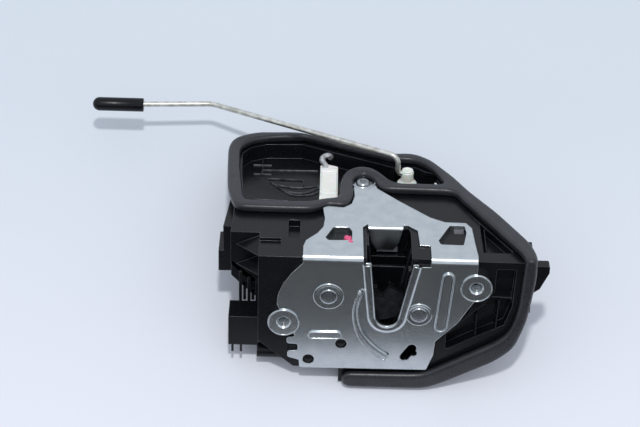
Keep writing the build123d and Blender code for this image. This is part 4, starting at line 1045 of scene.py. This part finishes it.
@dataclass
class LockRod:
    """Crown on the rod clip's head, and the rod's cap."""

    clip_centre: Point2 = (9.0, 73.0)
    crown: Line = ((0.0, -0.6), (2.6, -0.6), (2.7, 0.05), (2.45, 0.3), (1.6, 0.42), (1.5, 0.2), (0.0, 0.16))
    crown_level: float = 1.6
    crown_steps: int = 28
    cap_bore: float = 1.3
    cap_bore_from: float = 4.0
    cap_lip: float = 0.3
    cap_tip_steps: int = 9

    def build(self) -> None:
        """Make the dipped cap and the crown on the clip's head."""
        self.cap()
        crown = turned_copies("clip_crown", self.crown, [self.clip_centre], NATURAL_NYLON, self.crown_steps,
                              (self.crown_level,))
        settle("clip_crown", crown, Side.INNER, "rod")

    def cap(self) -> None:
        """Dipped cap with a round tip, open towards the rod."""
        low, high = (Vector(corner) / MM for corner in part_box("rod_cap"))
        radius, length = (high.z - low.z) / 2, high.x - low.x
        turns = [math.radians(90 * i / self.cap_tip_steps) for i in range(self.cap_tip_steps + 1)]
        profile = [*((radius * math.sin(t), radius * (1 - math.cos(t))) for t in turns),
                   (radius, length - self.cap_lip), (radius - self.cap_lip, length), (self.cap_bore, length),
                   (self.cap_bore, self.cap_bore_from), (0.0, self.cap_bore_from)]
        mesh = turned("vinyl_cap", profile, DIPPED_VINYL)
        mesh.transform(Matrix.Rotation(math.radians(90), 4, "Y"))
        mesh.transform(Matrix.Translation(Vector((low.x, (low.y + high.y) / 2, (low.z + high.z) / 2)) * MM))
        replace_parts(settle("vinyl_cap", mesh, Side.INNER, "rod"), "rod_cap")


# ---------- studio

@dataclass
class Studio:
    """Pale table that the latch leans on, one lamp above it in a pale room, and the camera."""

    elevation: float = 33.0
    roll: float = 1.6
    lens: float = 110.1
    film_width: float = 36.0
    near_far: Pair = (50.0, 20000.0)
    eye: Point3 = (-32.58, -729.6, 496.7)
    table_tilt: float = 26.0
    table_drop: float = 67.8
    table_half: float = 2600.0
    pale: str = "#E4E9F3"
    # The table's colour at two distances along Y: lighter near and darker far off, a painted falloff of the
    # light.
    near_painted_light_tone: str = "#EEEEF5"
    far_painted_shade_tone: str = "#D8DFE6"
    near_y: float = -90.0
    far_y: float = 150.0
    # Key lamp, in watts and in the table's frame, and the strength of the room's light on matt faces.
    key_power: float = 7.0
    key_place: Point3 = (-21.0, -160.0, 1370.0)
    key_width: float = 90.0
    ambient: float = 0.82
    # Y and Z of the dark card's lower and upper edge, in the table's frame.
    card_half: float = 900.0
    card_foot: Pair = (-120.0, 3.0)
    card_top: Pair = (-1300.0, 750.0)
    card_tone: str = "#101114"

    def build(self) -> None:
        """Make the room, table, card, lamp and camera."""
        bpy.context.scene.view_settings.view_transform = "Standard"
        self.room()
        self.table()
        self.card()
        self.lamp()
        self.camera()

    def room(self) -> None:
        """Pale surroundings, dimmer where they only light matt surfaces."""
        bpy.context.scene.world = bpy.data.worlds.new("pale_room")
        tree = empty_tree(bpy.context.scene.world)
        dim, full = (add(tree, "ShaderNodeBackground", values={"Color": linear(self.pale), "Strength": level})
                     for level in (self.ambient, 1.0))
        path = add(tree, "ShaderNodeLightPath")
        some = add(tree, "ShaderNodeMath", {0: path.outputs["Is Camera Ray"], 1: path.outputs["Is Glossy Ray"]},
                   operation="MAXIMUM")
        direct = add(tree, "ShaderNodeMath", {0: some.outputs[0], 1: path.outputs["Is Transmission Ray"]},
                     operation="MAXIMUM")
        both = add(tree, "ShaderNodeMixShader", {0: direct.outputs[0], 1: dim.outputs[0], 2: full.outputs[0]})
        add(tree, "ShaderNodeOutputWorld", {"Surface": both.outputs[0]})

    def table_frame(self) -> Matrix:
        """Where the table's middle lies and how it leans."""
        tilt = Matrix.Rotation(math.radians(self.table_tilt), 4, "X")
        return tilt @ Matrix.Translation((0, 0, -self.table_drop * MM))

    def backdrop(self, name: str, corners: list[Point3], material: Material) -> Object:
        """A flat face in the table's frame, which isn't part of the latch.

        Args:
            name: its name.
            corners: its four corners, in millimetres.
            material: its material.

        Returns:
            The face's object.
        """
        mesh = bpy.data.meshes.new(name)
        mesh.from_pydata([[c * MM for c in corner] for corner in corners], [], [(0, 1, 2, 3)])
        mesh.transform(self.table_frame())
        mesh.materials.append(material)
        made = put(name, mesh)
        return made

    def table(self) -> None:
        """The pale table top: matt paint with a painted shade that makes it a little darker far off, seen only
        from above.
        """
        made = bpy.data.materials.new("table_paint_with_painted_falloff")
        tree = empty_tree(made)
        place = add(tree, "ShaderNodeTexCoord")
        along = add(tree, "ShaderNodeSeparateXYZ", {"Vector": place.outputs["Object"]})
        far = add(tree, "ShaderNodeMapRange", {"Value": along.outputs["Y"]},
                  {"From Min": self.near_y * MM, "From Max": self.far_y * MM})
        painted_falloff = add(tree, "ShaderNodeMix", {"Factor": far.outputs["Result"]},
                   {MIX_A: linear(self.near_painted_light_tone), MIX_B: linear(self.far_painted_shade_tone)}, data_type="RGBA")
        matt = add(tree, "ShaderNodeBsdfDiffuse", {"Color": painted_falloff.outputs[MIX_RESULT]})
        clear = add(tree, "ShaderNodeBsdfTransparent")
        faced = add(tree, "ShaderNodeNewGeometry")
        shown = add(tree, "ShaderNodeMixShader",
                    {0: faced.outputs["Backfacing"], 1: matt.outputs[0], 2: clear.outputs[0]})
        add(tree, "ShaderNodeOutputMaterial", {"Surface": shown.outputs[0]})
        half = self.table_half
        corners = [(-half, -half, 0), (half, -half, 0), (half, half, 0), (-half, half, 0)]
        self.backdrop("table_top", corners, made)

    def card(self) -> None:
        """A dark card in front, which only reflections see: it darkens the steep faces."""
        felt = bpy.data.materials.new("black_card")
        felt.use_nodes = True
        felt.node_tree.nodes["Principled BSDF"].inputs["Base Color"].default_value = linear(self.card_tone)
        half = self.card_half
        shade = self.backdrop("dark_card", [(-half, *self.card_foot), (half, *self.card_foot),
                                            (half, *self.card_top), (-half, *self.card_top)], felt)
        shade.visible_camera = shade.visible_diffuse = shade.visible_shadow = shade.visible_transmission = False

    def lamp(self) -> None:
        """The key lamp: high above the table, a little in front, small enough for a clear shadow."""
        lean = self.table_frame()
        key = bpy.data.lights.new("key", "AREA")
        key.shape, key.size, key.energy = "DISK", self.key_width * MM, self.key_power
        place = Vector(self.key_place) * MM
        turn = (lean.to_3x3() @ -place).to_track_quat("-Z", "Y").to_matrix().to_4x4()
        put("key", key).matrix_world = Matrix.Translation(lean @ place) @ turn

    def camera(self) -> None:
        """The camera, turned by its roll about its own view."""
        e, r = math.radians(self.elevation), math.radians(self.roll)
        right, up = Vector((1, 0, 0)), Vector((0, math.sin(e), math.cos(e)))
        back = Vector((0, -math.cos(e), math.sin(e)))
        across = math.cos(r) * right + math.sin(r) * up
        upward = math.cos(r) * up - math.sin(r) * right
        turn = Matrix((across, upward, back)).transposed().to_4x4()
        data = bpy.data.cameras.new("camera")
        data.lens, data.sensor_width, data.sensor_fit = self.lens, self.film_width, "HORIZONTAL"
        data.clip_start, data.clip_end = (reach * MM for reach in self.near_far)
        camera = put("camera", data)
        camera.matrix_world = Matrix.Translation(Vector(self.eye) * MM) @ turn
        bpy.context.scene.camera = camera


def main() -> None:
    """Build every sub-assembly in order."""
    logging.basicConfig(level=logging.INFO, format="%(name)s: %(message)s")
    Studio().build()
    finish_frame()
    for assembly in (FoldedPlate(), MouldedCarrier(), WeatherSeal(), ReleaseLever(), LockRod()):
        assembly.build()


if __name__ == "__main__":
    main()
